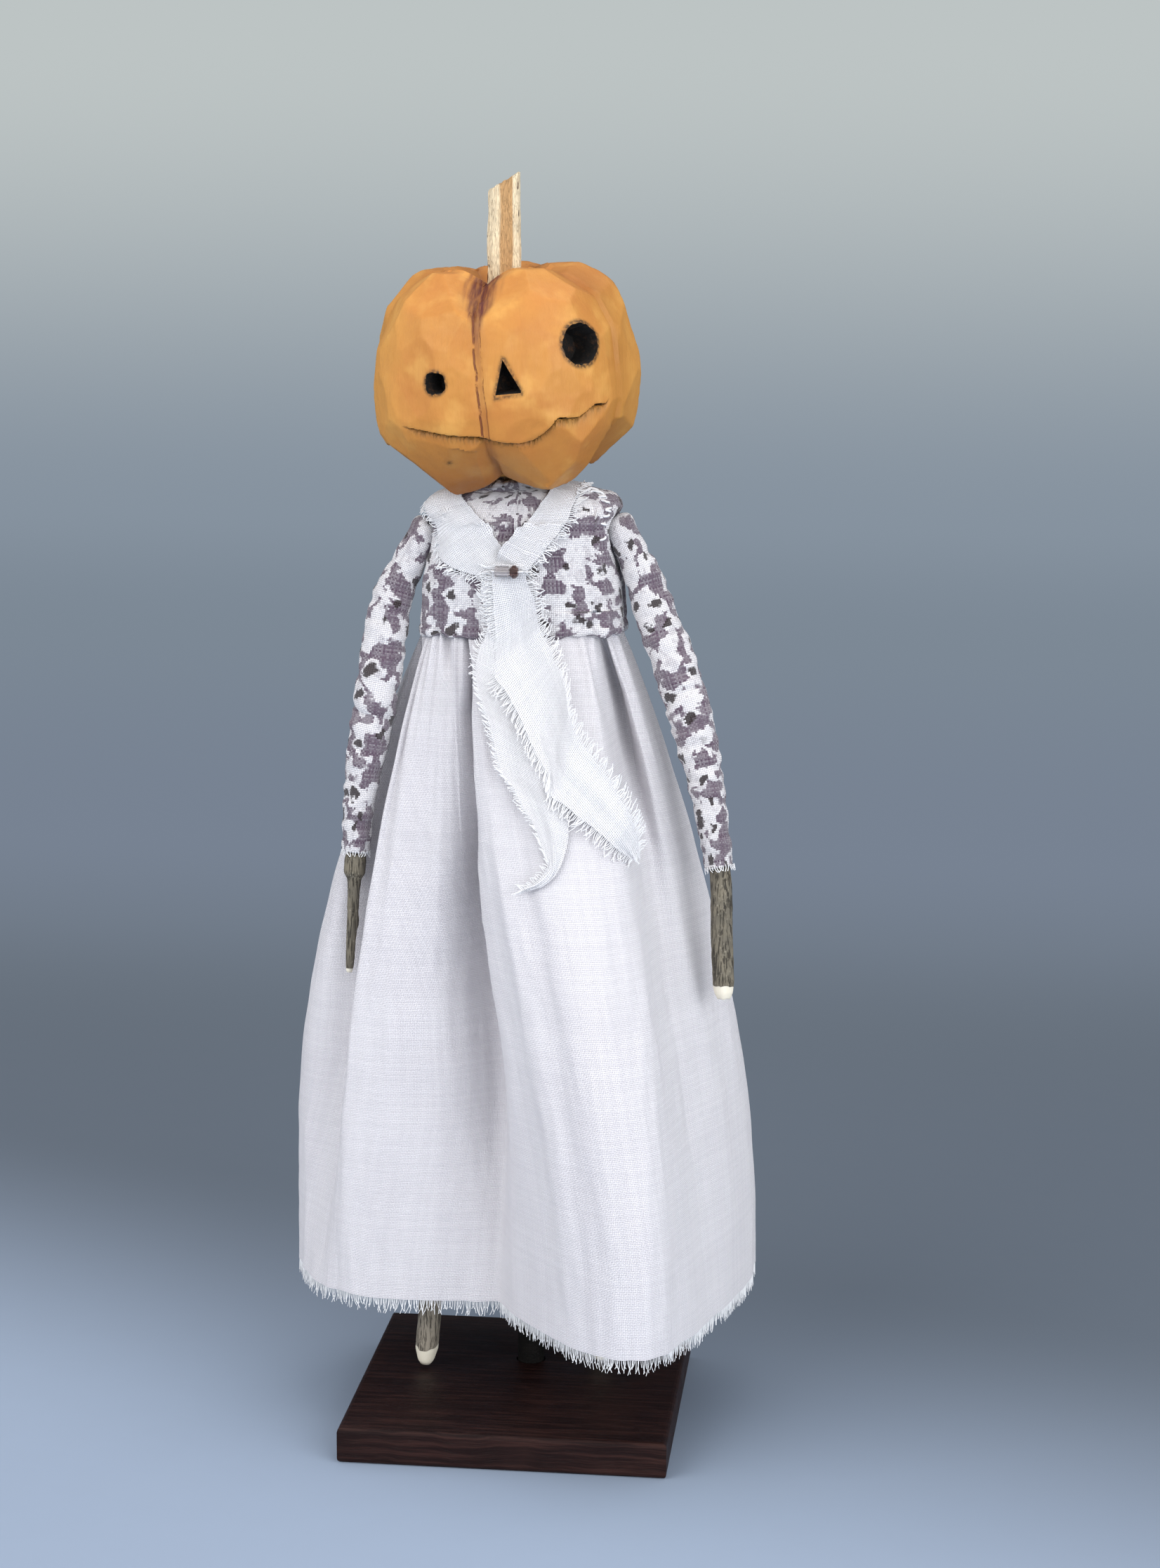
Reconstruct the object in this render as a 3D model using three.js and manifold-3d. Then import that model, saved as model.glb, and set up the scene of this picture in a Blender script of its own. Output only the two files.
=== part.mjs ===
// Pumpkin head doll
// A carved wooden pumpkin head on a cloth doll with twig hands and feet, held up by a post on a square base.
// Millimetres, +Z up. The origin is the centre of the base's underside, and the doll faces -Y.
// Left and right are the viewer's, looking at the doll's face.

import * as THREE from 'three';
import { LoftGeometry } from 'three/addons/geometries/LoftGeometry.js';
import { mergeVertices } from 'three/addons/utils/BufferGeometryUtils.js';
import Module from 'manifold-3d';

const wasm = await Module();
wasm.setup();

// Fits
const CLEARANCE = 0.3;
const WELD = 1e-4;

// Base and post
const BASE_SIDE = 80;
const BASE_THICKNESS = 9;
const BASE_EASE = 1.2;
const POST_RADIUS = 3.4;
const POST_SEAT = 6;
const POST_FREE_LENGTH = 181;
const POST_AT = { x: 2.5, y: 1 };

// Torso block, whose underside's centre is the doll's own origin
const DOLL_AT = { x: -1.5, y: 10 };
const BLOCK_WIDTH = 33;
const BLOCK_DEPTH = 17;
const BLOCK_HEIGHT = 36;
const BLOCK_POST_SEAT = 12;

// Neck peg, on a line that leans towards the viewer's left and a little forward
const PEG_RADIUS = 3;
const PEG_IN_BLOCK = 9;
const PEG_IN_HEAD = 12;
const NECK_AT = { x: -1, y: -1 };
const NECK_LEAN = { x: -0.09, y: -0.05 };

// Bodice: stuffed printed cotton, from the waist to the top of the neck
const WAIST_RISE = 7.7;
const SHOULDER_PADDING = 3.2;
const NECK_LENGTH = 9.1;
const SHOULDER_RISE = BLOCK_HEIGHT + SHOULDER_PADDING;
const NECK_RISE = BLOCK_HEIGHT + NECK_LENGTH;
const BODICE_HALF_WIDTH = 25.1;
const BODICE_HALF_DEPTH = 13.2;
const NECK_RADIUS = 7.2;
const BODICE_SIDES = 36;

// Sleeves: each starts as a ball in a hollow of the bodice, with the armhole thread between them
const BALL_RADIUS = 4.6;
const ARMHOLE_GAP = 1.2;
const THREAD_RADIUS = 0.35;
const ARMHOLE_THREAD_RING = 3.2;
const SLEEVE_MIDDLE_RADIUS = 5.4;
const TWIG_IN_SLEEVE = 10;
const UPPER_SLEEVE = 14;
const SLEEVE_SIDES = 14;

// Skirt
const SKIRT_LENGTH = 163;
const SKIRT_WAIST_HALF_WIDTH = 24.4;
const SKIRT_WAIST_HALF_DEPTH = 12.2;
const SKIRT_THICKNESS = 1.2;
const SKIRT_LEVELS = 11;
const SAMPLES_PER_FOLD_LINE = 2;

// Scarf
const SCARF_LIFT = 0.35;
const SCARF_THICKNESS = 1.2;
const SCARF_ROOM_ROUND_NECK = 2.4;

// Beads on the scarf
const BEAD_HOLE_RADIUS = 0.6;
const BUGLE_RADIUS = 1.4;
const BUGLE_LENGTH = 3.4;
const SEED_RADIUS = 1.6;
const SEED_LENGTH = 1.9;
const BEAD_THREAD_RADIUS = 0.22;
const BEADS_BELOW_BLOCK_TOP = 12.2;
const BUGLE_AT = { x: -4.9, z: BLOCK_HEIGHT - BEADS_BELOW_BLOCK_TOP };

// Legs, each hung by a screw eye from a wire staple in the block
const HIP_DROP = 4;
const STAPLE_HALF_WIDTH = 2.6;
const STAPLE_WIRE_RADIUS = 0.6;
const STAPLE_IN_BLOCK = 5;
const EYE_RING_RADIUS = 2.4;
const EYE_WIRE_RADIUS = 0.55;
const EYE_SHANK_LENGTH = 5;
const LEG_RADIUS = 3;
const LEG_TIP_LENGTH = 4;
const LEG_TIP_RADIUS = 1.3;
const HIP_INSET = 4.5;
const FOOT_GAP = 0.9;

// Head, in its own frame: Z runs up the neck's line from the block's top
const HEAD_TURN_DEGREES = -4.5;
const HEAD_RADIUS = 32.4;
const HEAD_DEPTH_SHARE = 0.93;
const HEAD_BOTTOM = 6.8;
const HEAD_HEIGHT = 53.6;
const DIMPLE_DEPTH = 3.6;
const GROOVE_DEPTH = 1.5;
const GROOVE_DEPTH_AT_ENDS = 4.4;
const LOBES = 5;
const HEAD_SIDES = 60;
const STEM_SEAT = 5;
const STEM_HEIGHT = 26;
const STEM_SLANT = 4.9;
const STEM_RADIUS = 4.1;

const UP = new THREE.Vector3(0, 0, 1);

const degrees = THREE.MathUtils.degToRad;
const point = (x, y, z) => new THREE.Vector3(x, y, z);

// Solids

// A closed geometry, welded and with no empty faces, as a solid that can be joined and cut.
function solid(geometry) {
  const bare = new THREE.BufferGeometry();
  bare.setAttribute('position', geometry.getAttribute('position'));
  bare.setIndex(geometry.index);
  const welded = mergeVertices(bare, WELD);
  const corners = welded.index.array;
  const triangles = [];
  for (let i = 0; i < corners.length; i += 3) {
    const [a, b, c] = corners.slice(i, i + 3);
    if (a !== b && b !== c && c !== a) triangles.push(a, b, c);
  }
  return new wasm.Manifold(new wasm.Mesh({
    numProp: 3,
    vertProperties: new Float32Array(welded.attributes.position.array),
    triVerts: new Uint32Array(triangles),
  }));
}

function geometryOf(body) {
  const mesh = body.getMesh();
  const geometry = new THREE.BufferGeometry();
  geometry.setAttribute('position', new THREE.BufferAttribute(mesh.vertProperties, 3));
  geometry.setIndex(new THREE.BufferAttribute(mesh.triVerts, 1));
  geometry.computeVertexNormals();
  return geometry;
}

function piece(name, body, material) {
  const mesh = new THREE.Mesh(geometryOf(body), material);
  mesh.name = name;
  return mesh;
}

// A rod along Z from one height to another.
function rod(radius, from, to, sides = 24) {
  const geometry = new THREE.CylinderGeometry(radius, radius, to - from, sides);
  geometry.rotateX(Math.PI / 2);
  geometry.translate(0, 0, (from + to) / 2);
  return geometry;
}

// A round body along a curve. Each station is a distance along the curve and the radius there.
function sweep(curve, stations, sides) {
  const length = curve.getLength();
  const steps = 200;
  const frames = curve.computeFrenetFrames(steps, false);
  const sections = stations.map(([distance, radius]) => {
    const share = THREE.MathUtils.clamp(distance / length, 0, 1);
    const centre = curve.getPointAt(share);
    const frame = Math.round(share * steps);
    return Array.from({ length: sides }, (_, k) => {
      const turn = (k / sides) * 2 * Math.PI;
      return centre.clone()
        .addScaledVector(frames.normals[frame], radius * Math.cos(turn))
        .addScaledVector(frames.binormals[frame], radius * Math.sin(turn));
    });
  });
  return new LoftGeometry(sections, { capStart: true, capEnd: true });
}

// Stations at even steps from one distance to another, with the radius as a function of the share covered.
function evenStations(from, to, count, radiusAt) {
  return Array.from({ length: count + 1 }, (_, k) => {
    const share = k / count;
    return [THREE.MathUtils.lerp(from, to, share), radiusAt(share)];
  });
}

// An outline of X and Z, pulled along Y.
function frontPrism(outline, fromY, toY) {
  const shape = new THREE.Shape(outline.map(([x, z]) => new THREE.Vector2(x, z)));
  const geometry = new THREE.ExtrudeGeometry(shape, { depth: toY - fromY, bevelEnabled: false });
  geometry.rotateX(Math.PI / 2);
  geometry.translate(0, toY, 0);
  return geometry;
}

// A rounded rectangle's outline at one height: squareness 2 is an ellipse, and higher is squarer.
function roundedSection(centre, halfWidth, halfDepth, squareness, z, sides) {
  return Array.from({ length: sides }, (_, k) => {
    const turn = (k / sides) * 2 * Math.PI;
    return roundedPoint(turn, halfWidth, halfDepth, squareness).add(point(centre.x, centre.y, z));
  });
}

function roundedPoint(turn, halfWidth, halfDepth, squareness) {
  const bend = (value) => Math.sign(value) * Math.abs(value) ** (2 / squareness);
  return point(halfWidth * bend(Math.cos(turn)), halfDepth * bend(Math.sin(turn)), 0);
}

// Materials
function finish(color, roughness, metalness = 0) {
  return new THREE.MeshStandardMaterial({ color, roughness, metalness });
}

const baseWood = finish(0x2a1414, 0.45);
const blackPaint = finish(0x16120f, 0.5);
const blockWood = finish(0xc9a777, 0.7);
const pumpkinWood = finish(0xb5742a, 0.55);
const stemWood = finish(0xdcc6a0, 0.7);
const printedCotton = finish(0xb9aab6, 0.95);
const muslin = finish(0xd9d6dc, 0.95);
const scarfMuslin = finish(0xe9e6ea, 0.95);
const bark = finish(0x6b6152, 0.9);
const thread = finish(0xeeeae6, 0.8);
const clearGlass = finish(0xd8d8d8, 0.08);
const brownGlass = finish(0x7a5a50, 0.1);
const steel = finish(0x9a9a9a, 0.35, 1);

// The neck's frame, inside the doll's
const neckFrame = new THREE.Matrix4();
{
  const line = point(NECK_LEAN.x, NECK_LEAN.y, 1).normalize();
  const turn = new THREE.Quaternion().setFromUnitVectors(UP, line);
  neckFrame.compose(point(NECK_AT.x, NECK_AT.y, BLOCK_HEIGHT), turn, point(1, 1, 1));
}

// Arms, in frames at their shoulders: the sleeve's middle line and the hand's tip
const ARMS = {
  left: {
    shoulder: point(-25.2, -2, BLOCK_HEIGHT - 5),
    towardsBody: 1,
    line: [point(0, 0, 0), point(-4.4, -1, -9), point(-7, -2.3, -17.4), point(-9.2, -4.2, -32.4),
      point(-11.2, -5.4, -44.8), point(-13.6, -7, -60), point(-15, -8, -77.6)],
    handTip: point(-17.4, -10.5, -108),
    cuffRadius: 3.5,
    handRadius: 1.8,
    knobRadius: 2.6,
    knobLength: 6,
    tipLength: 1.5,
  },
  right: {
    shoulder: point(25, -2, BLOCK_HEIGHT - 3.5),
    towardsBody: -1,
    line: [point(0, 0, 0), point(4, -1, -8.5), point(7, -2, -17.6), point(12.9, -5, -32.1),
      point(18.4, -8, -49.5), point(21.1, -10, -59.5), point(22.9, -12, -69), point(24.9, -14, -79.3)],
    handTip: point(26.7, -18, -111.2),
    cuffRadius: 3.6,
    handRadius: 2.6,
    knobRadius: 2.6,
    knobLength: 0,
    tipLength: 3.5,
  },
};

// Legs: the hip's place on the block, how far from under it the foot is, and the twig's own bend
const LEGS = {
  left: { hip: { x: HIP_INSET - BLOCK_WIDTH / 2, y: -2 }, foot: { x: -11.5, y: -6 }, sway: 0.8 },
  right: { hip: { x: BLOCK_WIDTH / 2 - HIP_INSET, y: -2 }, foot: { x: 8.5, y: 3 }, sway: -0.8 },
};
const legDrop = POST_FREE_LENGTH - HIP_DROP - FOOT_GAP;
const legLength = (leg) => Math.hypot(legDrop, leg.foot.x, leg.foot.y);

// Fold lines of the skirt, round from the left side by the front to the right and the back.
// waist is the angle where the line leaves the waist, and hem is its place at the hem.
// hollow draws it in between them, late moves it sideways only low down, and early spreads it sooner.
const FOLD_LINES = [
  { waist: -188, hem: [-56.9, 2], early: 1.28 },
  { waist: -180, hem: [-55.5, -9], early: 1.2, hollow: 1.5 },
  { waist: -170, hem: [-48.5, -19], hollow: 9 },
  { waist: -159, hem: [-43.5, -25], early: 1.05 },
  { waist: -146, hem: [-34.5, -28] },
  { waist: -135, hem: [-21.5, -30.5], hollow: 1 },
  { waist: -126, hem: [-9.5, -31.5], late: 0.5, hollow: 2 },
  { waist: -119, hem: [-0.5, -34], late: 1, hollow: 6 },
  { waist: -112, hem: [12.5, -49], late: 1 },
  { waist: -99, hem: [22.5, -58.5], late: 0.8 },
  { waist: -87, hem: [32.5, -62.5], late: 0.6 },
  { waist: -71, hem: [39.5, -59.5], late: 0.4 },
  { waist: -53, hem: [44.5, -51], late: 0.2 },
  { waist: -37, hem: [50, -34], hollow: 4.5 },
  { waist: -20, hem: [55.5, -16] },
  { waist: 0, hem: [59.3, 2] },
  { waist: 18, hem: [57.5, 17] },
  { waist: 36, hem: [47.5, 27], hollow: 1 },
  { waist: 54, hem: [37.5, 25.5], hollow: 3 },
  { waist: 71, hem: [27.5, 32] },
  { waist: 88, hem: [13.5, 28], hollow: 3 },
  { waist: 105, hem: [-0.5, 34] },
  { waist: 121, hem: [-14.5, 29.5], hollow: 3 },
  { waist: 137, hem: [-28.5, 33] },
  { waist: 154, hem: [-43.5, 25], hollow: 1 },
];

// Outlines of the scarf seen from the front: X and Z, with the bands' heights counted from the block's top
const aboveBlock = (outline) => outline.map(([x, z]) => [x, z + BLOCK_HEIGHT]);
const SCARF_LEFT_BAND = aboveBlock([[-16.1, 10], [-16.1, 5.9], [-12.9, 4.1], [-7.7, -0.8], [-3.4, -6.4],
  [-3.4, -14], [-7, -13.3], [-14.1, -12.7], [-20, -9.6], [-20.6, -1.2], [-30, 0], [-30, 10]]);
const SCARF_RIGHT_BAND = aboveBlock([[7.4, 10], [7.4, 6.2], [2.4, 0.2], [-3.4, -6.4], [-7.2, -13],
  [-0.5, -14.5], [2.9, -12.2], [9.8, -3.6], [14.7, 1.5], [18.5, 3], [18.5, 10]]);
const SCARF_BACK = aboveBlock([[-30, 10], [-26, -2], [-13, -8], [0, -10], [12, -7], [24, 0], [24, 10]]);
const TAIL_TOP = BLOCK_HEIGHT - 12.5;
const SCARF_UNDER_TAIL = [[-7.6, TAIL_TOP], [-7, 9], [-9, 4], [-9.1, -0.9], [-5.6, -10.3], [-1.9, -21.6],
  [4.1, -30.1], [8.4, -36.6], [14.1, -43.6], [4.5, -48.9], [14, -46.5], [15.2, -37.3], [15.1, -33.9],
  [11, -20], [4, 5], [-2, TAIL_TOP]];
const SCARF_OVER_TAIL = [[-7, TAIL_TOP], [-5.3, 14.2], [-4.8, 6.1], [-5.7, 0], [-2.3, -3.6], [2.1, -9.9],
  [6.9, -18.6], [10.8, -26.5], [17.9, -30.8], [24.6, -33.8], [30, -40], [33.9, -39], [32.5, -35.4],
  [27.5, -27.6], [20.6, -19.2], [17.1, -15.1], [13.9, -8.8], [12.8, -3.4], [6.9, 8.7], [4.6, 10.3],
  [2, 21.1], [0.7, TAIL_TOP]];

// Carving of the face: places are degrees round from the front groove and heights from the head's middle
const EYES = [
  { turn: -19.9, rise: 2.7, radius: 2.7, depth: 6 },
  { turn: 48, rise: 8.6, radius: 4.7, depth: 8 },
];
const NOSE = { left: 7.1, right: 18.6, bottom: -0.9, top: 6.9, apex: 10.9, depth: 6 };
const MOUTH = [[-42.8, -6.9], [-27.9, -8.7], [-13.7, -10.1], [-2.4, -10.9], [6.1, -12.5], [15.2, -13.2],
  [21, -12.9], [25.5, -11.5], [29.8, -9.2], [33.1, -7.9], [42.3, -8.5], [46.9, -7.3], [51, -5.9], [60, -5.4]];
const MOUTH_CUT = 1.1;

// Base and post

function baseBoard() {
  const flat = BASE_SIDE - 2 * BASE_EASE;
  const outline = new THREE.Shape([
    new THREE.Vector2(-flat / 2, -flat / 2),
    new THREE.Vector2(flat / 2, -flat / 2),
    new THREE.Vector2(flat / 2, flat / 2),
    new THREE.Vector2(-flat / 2, flat / 2),
  ]);
  const board = new THREE.ExtrudeGeometry(outline, {
    depth: BASE_THICKNESS - 2 * BASE_EASE,
    bevelThickness: BASE_EASE,
    bevelSize: BASE_EASE,
    bevelSegments: 3,
  });
  board.translate(0, 0, BASE_EASE);
  const seat = rod(POST_RADIUS + CLEARANCE, BASE_THICKNESS - POST_SEAT, BASE_THICKNESS + 1);
  seat.translate(DOLL_AT.x + POST_AT.x, DOLL_AT.y + POST_AT.y, 0);
  return solid(board).subtract(solid(seat));
}

function supportPost() {
  const from = BASE_THICKNESS - POST_SEAT + CLEARANCE;
  const to = BASE_THICKNESS + POST_FREE_LENGTH + BLOCK_POST_SEAT - CLEARANCE;
  const post = rod(POST_RADIUS, from, to);
  post.translate(DOLL_AT.x + POST_AT.x, DOLL_AT.y + POST_AT.y, 0);
  return solid(post);
}

// Torso block and neck peg

function torsoBlock() {
  const block = new THREE.BoxGeometry(BLOCK_WIDTH, BLOCK_DEPTH, BLOCK_HEIGHT);
  block.translate(0, 0, BLOCK_HEIGHT / 2);
  const postSeat = rod(POST_RADIUS + CLEARANCE, -1, BLOCK_POST_SEAT);
  postSeat.translate(POST_AT.x, POST_AT.y, 0);
  const pegSeat = rod(PEG_RADIUS + CLEARANCE, -PEG_IN_BLOCK - CLEARANCE, PEG_IN_BLOCK);
  pegSeat.applyMatrix4(neckFrame);
  let body = solid(block).subtract(solid(postSeat)).subtract(solid(pegSeat));
  for (const leg of Object.values(LEGS)) {
    for (const side of [-1, 1]) {
      const hole = rod(STAPLE_WIRE_RADIUS + CLEARANCE, -1, STAPLE_IN_BLOCK + CLEARANCE, 10);
      hole.translate(leg.hip.x + side * STAPLE_HALF_WIDTH, leg.hip.y, 0);
      body = body.subtract(solid(hole));
    }
  }
  return body;
}

function neckPeg() {
  return solid(rod(PEG_RADIUS, -PEG_IN_BLOCK, HEAD_BOTTOM + DIMPLE_DEPTH + PEG_IN_HEAD - CLEARANCE));
}

// Bodice, grown outwards by extra where it is used to shape what lies on it

function bodiceForm(extra) {
  const rise = (share) => THREE.MathUtils.lerp(WAIST_RISE, SHOULDER_RISE, share);
  const torso = [
    { z: WAIST_RISE - extra, width: 1, depth: 0.955, square: 3.2 },
    { z: rise(0.36), width: 0.975, depth: 1, square: 3.2 },
    { z: rise(0.55), width: 0.92, depth: 1, square: 3.2 },
    { z: rise(0.75), width: 0.884, depth: 0.97, square: 3.1 },
    { z: rise(0.88), width: 0.85, depth: 0.92, square: 3 },
    { z: rise(0.95), width: 0.785, depth: 0.84, square: 2.8 },
    { z: SHOULDER_RISE + extra, width: 0.57, depth: 0.7, square: 2.6 },
  ].map((ring) => ({
    z: ring.z,
    width: ring.width * BODICE_HALF_WIDTH,
    depth: ring.depth * BODICE_HALF_DEPTH,
    square: ring.square,
    centre: { x: 0, y: 0 },
  }));
  const neckCentre = (z) => ({
    x: NECK_AT.x + NECK_LEAN.x * (z - BLOCK_HEIGHT),
    y: NECK_AT.y + NECK_LEAN.y * (z - BLOCK_HEIGHT),
  });
  const neck = [
    { z: SHOULDER_RISE + extra + 0.4, radius: NECK_RADIUS + 1.6 },
    { z: THREE.MathUtils.lerp(SHOULDER_RISE, NECK_RISE, 0.36) + extra, radius: NECK_RADIUS + 0.6 },
    { z: NECK_RISE, radius: NECK_RADIUS },
  ].map((ring) => ({ z: ring.z, width: ring.radius, depth: ring.radius, square: 2, centre: neckCentre(ring.z) }));
  const sections = [...torso, ...neck].map((ring) => roundedSection(
    ring.centre, ring.width + extra, ring.depth + extra, ring.square, ring.z, BODICE_SIDES));
  return solid(new LoftGeometry(sections, { capStart: true, capEnd: true }));
}

function bodice() {
  const hollow = new THREE.BoxGeometry(
    BLOCK_WIDTH + 2 * CLEARANCE, BLOCK_DEPTH + 2 * CLEARANCE, BLOCK_HEIGHT + CLEARANCE);
  hollow.translate(0, 0, (BLOCK_HEIGHT + CLEARANCE) / 2);
  const pegWay = rod(PEG_RADIUS + CLEARANCE, -PEG_IN_BLOCK, 2 * NECK_RISE);
  pegWay.applyMatrix4(neckFrame);
  let body = bodiceForm(0).subtract(solid(hollow)).subtract(solid(pegWay));
  for (const arm of Object.values(ARMS)) {
    const socket = new THREE.SphereGeometry(BALL_RADIUS + ARMHOLE_GAP, 24, 14);
    const besideSleeve = sweep(sleeveCurve(arm),
      evenStations(0, UPPER_SLEEVE, 4, () => BALL_RADIUS + CLEARANCE), SLEEVE_SIDES);
    for (const room of [socket, besideSleeve]) {
      room.translate(arm.shoulder.x, arm.shoulder.y, arm.shoulder.z);
      body = body.subtract(solid(room));
    }
  }
  return body;
}

// Arms

function armholeThread(arm) {
  const middle = BALL_RADIUS + ARMHOLE_GAP / 2;
  const offset = Math.sqrt(middle ** 2 - ARMHOLE_THREAD_RING ** 2);
  const ring = new THREE.TorusGeometry(ARMHOLE_THREAD_RING, THREAD_RADIUS, 6, 24);
  ring.rotateY(Math.PI / 2);
  ring.translate(arm.towardsBody * offset, 0, 0);
  return solid(ring);
}

function sleeveCurve(arm) {
  return new THREE.CatmullRomCurve3(arm.line);
}

// The hand twig's line: from the end of its socket inside the sleeve, out at the cuff and on to its tip.
function handCurve(arm) {
  const sleeve = sleeveCurve(arm);
  const inside = 1 - (TWIG_IN_SLEEVE + CLEARANCE) / sleeve.getLength();
  const cuff = sleeve.getPointAt(1);
  const half = cuff.clone().lerp(arm.handTip, 0.5);
  return new THREE.CatmullRomCurve3([sleeve.getPointAt(inside), sleeve.getPointAt((1 + inside) / 2), cuff,
    half, arm.handTip]);
}

function sleeve(arm) {
  const curve = sleeveCurve(arm);
  const swell = (share) => {
    const upper = THREE.MathUtils.smoothstep(share, 0, 0.45);
    const lower = THREE.MathUtils.smoothstep(share, 0.5, 1);
    const full = THREE.MathUtils.lerp(BALL_RADIUS, SLEEVE_MIDDLE_RADIUS, upper);
    return THREE.MathUtils.lerp(full, arm.cuffRadius, lower);
  };
  const tube = sweep(curve, evenStations(0, curve.getLength(), 16, swell), SLEEVE_SIDES);
  const ball = new THREE.SphereGeometry(BALL_RADIUS, 18, 12);
  const socket = sweep(handCurve(arm),
    evenStations(0, TWIG_IN_SLEEVE + 6, 5, () => arm.handRadius + CLEARANCE), 12);
  return solid(tube).add(solid(ball)).subtract(solid(socket));
}

function handTwig(arm) {
  const curve = handCurve(arm);
  const length = curve.getLength();
  const knobTop = TWIG_IN_SLEEVE + 2 * CLEARANCE;
  const knobEnd = knobTop + arm.knobLength;
  const stations = evenStations(CLEARANCE, knobTop, 3, () => arm.handRadius);
  if (arm.knobLength > 0) {
    stations.push([knobTop + 0.8, arm.knobRadius], [knobEnd - 1.2, arm.knobRadius], [knobEnd, arm.handRadius]);
  }
  stations.push(
    [THREE.MathUtils.lerp(knobEnd, length, 0.5), arm.handRadius * 1.03],
    [length - arm.tipLength, arm.handRadius],
    [length, arm.handRadius * 0.5],
  );
  return solid(sweep(curve, stations, 12));
}

// Skirt

// Where a fold line is at a share of the way from the waist to the hem.
function foldPoint(line, share) {
  const { late = 0, hollow = 0, early = 1 } = line;
  const waist = roundedPoint(degrees(line.waist), SKIRT_WAIST_HALF_WIDTH, SKIRT_WAIST_HALF_DEPTH, 2.6);
  const spread = Math.sin(Math.min(1, share * early) * Math.PI / 2) ** 0.9;
  const sideways = THREE.MathUtils.lerp(spread, THREE.MathUtils.smoothstep(share, 0, 1), late);
  const x = THREE.MathUtils.lerp(waist.x, line.hem[0], sideways);
  const y = THREE.MathUtils.lerp(waist.y, line.hem[1], spread);
  const drawnIn = hollow * Math.sin(Math.PI * Math.min(1, share) ** 0.8);
  const pull = 1 - drawnIn / Math.hypot(x, y);
  return point(x * pull, y * pull, 0);
}

// The skirt's outline at one share of its length, moved outwards by offset.
function skirtSection(share, offset, z) {
  const outline = new THREE.CatmullRomCurve3(FOLD_LINES.map((line) => foldPoint(line, share)), true);
  const count = FOLD_LINES.length * SAMPLES_PER_FOLD_LINE;
  const around = Array.from({ length: count }, (_, k) => outline.getPoint(k / count));
  return around.map((here, k) => {
    const before = around[(k + count - 1) % count];
    const after = around[(k + 1) % count];
    const along = after.clone().sub(before).normalize();
    return point(here.x + along.y * offset, here.y - along.x * offset, z);
  });
}

function skirtForm(offset, overrun) {
  const top = WAIST_RISE - CLEARANCE;
  const sections = [];
  for (let k = 0; k <= SKIRT_LEVELS; k++) {
    const share = 1 - (k / SKIRT_LEVELS) ** 1.1;
    sections.push(skirtSection(share, offset, top - share * SKIRT_LENGTH));
  }
  if (overrun > 0) {
    sections.unshift(skirtSection(1, offset, top - SKIRT_LENGTH - overrun));
    sections.push(skirtSection(0, offset, top + overrun));
  }
  return solid(new LoftGeometry(sections, { capStart: true, capEnd: true }));
}

function skirt() {
  return skirtForm(0, 0).subtract(skirtForm(-SKIRT_THICKNESS, 1));
}

// Scarf: a cloth layer that lies on the bodice and the skirt, cut to its outlines

function scarf() {
  const outside = SCARF_LIFT + SCARF_THICKNESS;
  const layer = bodiceForm(outside).add(skirtForm(outside, 0))
    .subtract(bodiceForm(SCARF_LIFT)).subtract(skirtForm(SCARF_LIFT, 1));
  const reach = SKIRT_LENGTH / 2;
  const front = [SCARF_LEFT_BAND, SCARF_RIGHT_BAND, SCARF_UNDER_TAIL, SCARF_OVER_TAIL]
    .map((outline) => solid(frontPrism(outline, -reach, 0.5)));
  const back = solid(frontPrism(SCARF_BACK, 0, reach));
  const outlines = front.reduce((all, next) => all.add(next), back);
  const neckRoom = rod(NECK_RADIUS + SCARF_ROOM_ROUND_NECK, 1, NECK_RISE);
  neckRoom.applyMatrix4(neckFrame);
  let body = layer.intersect(outlines).subtract(solid(neckRoom));
  for (const arm of Object.values(ARMS)) {
    const room = new THREE.SphereGeometry(BALL_RADIUS + 2 * CLEARANCE, 18, 12);
    room.translate(arm.shoulder.x, arm.shoulder.y, arm.shoulder.z);
    body = body.subtract(solid(room));
  }
  return body;
}

// Beads: a clear bugle bead and a brown seed bead side by side, with the thread through both

const beadY = -(BODICE_HALF_DEPTH + SCARF_LIFT + SCARF_THICKNESS + CLEARANCE + SEED_RADIUS);

function bead(radius, length, rounding) {
  const profile = [
    [BEAD_HOLE_RADIUS, 0], [radius - rounding, 0], [radius, rounding], [radius, length - rounding],
    [radius - rounding, length], [BEAD_HOLE_RADIUS, length], [BEAD_HOLE_RADIUS, 0],
  ].map(([x, y]) => new THREE.Vector2(x, y));
  const geometry = new THREE.LatheGeometry(profile, 16);
  geometry.rotateZ(-Math.PI / 2);
  return geometry;
}

function bugleBead() {
  const geometry = bead(BUGLE_RADIUS, BUGLE_LENGTH, 0.25);
  geometry.translate(BUGLE_AT.x, beadY, BUGLE_AT.z);
  return solid(geometry);
}

function seedBead() {
  const geometry = bead(SEED_RADIUS, SEED_LENGTH, 0.6);
  geometry.translate(BUGLE_AT.x + BUGLE_LENGTH + CLEARANCE, beadY, BUGLE_AT.z);
  return solid(geometry);
}

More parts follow.
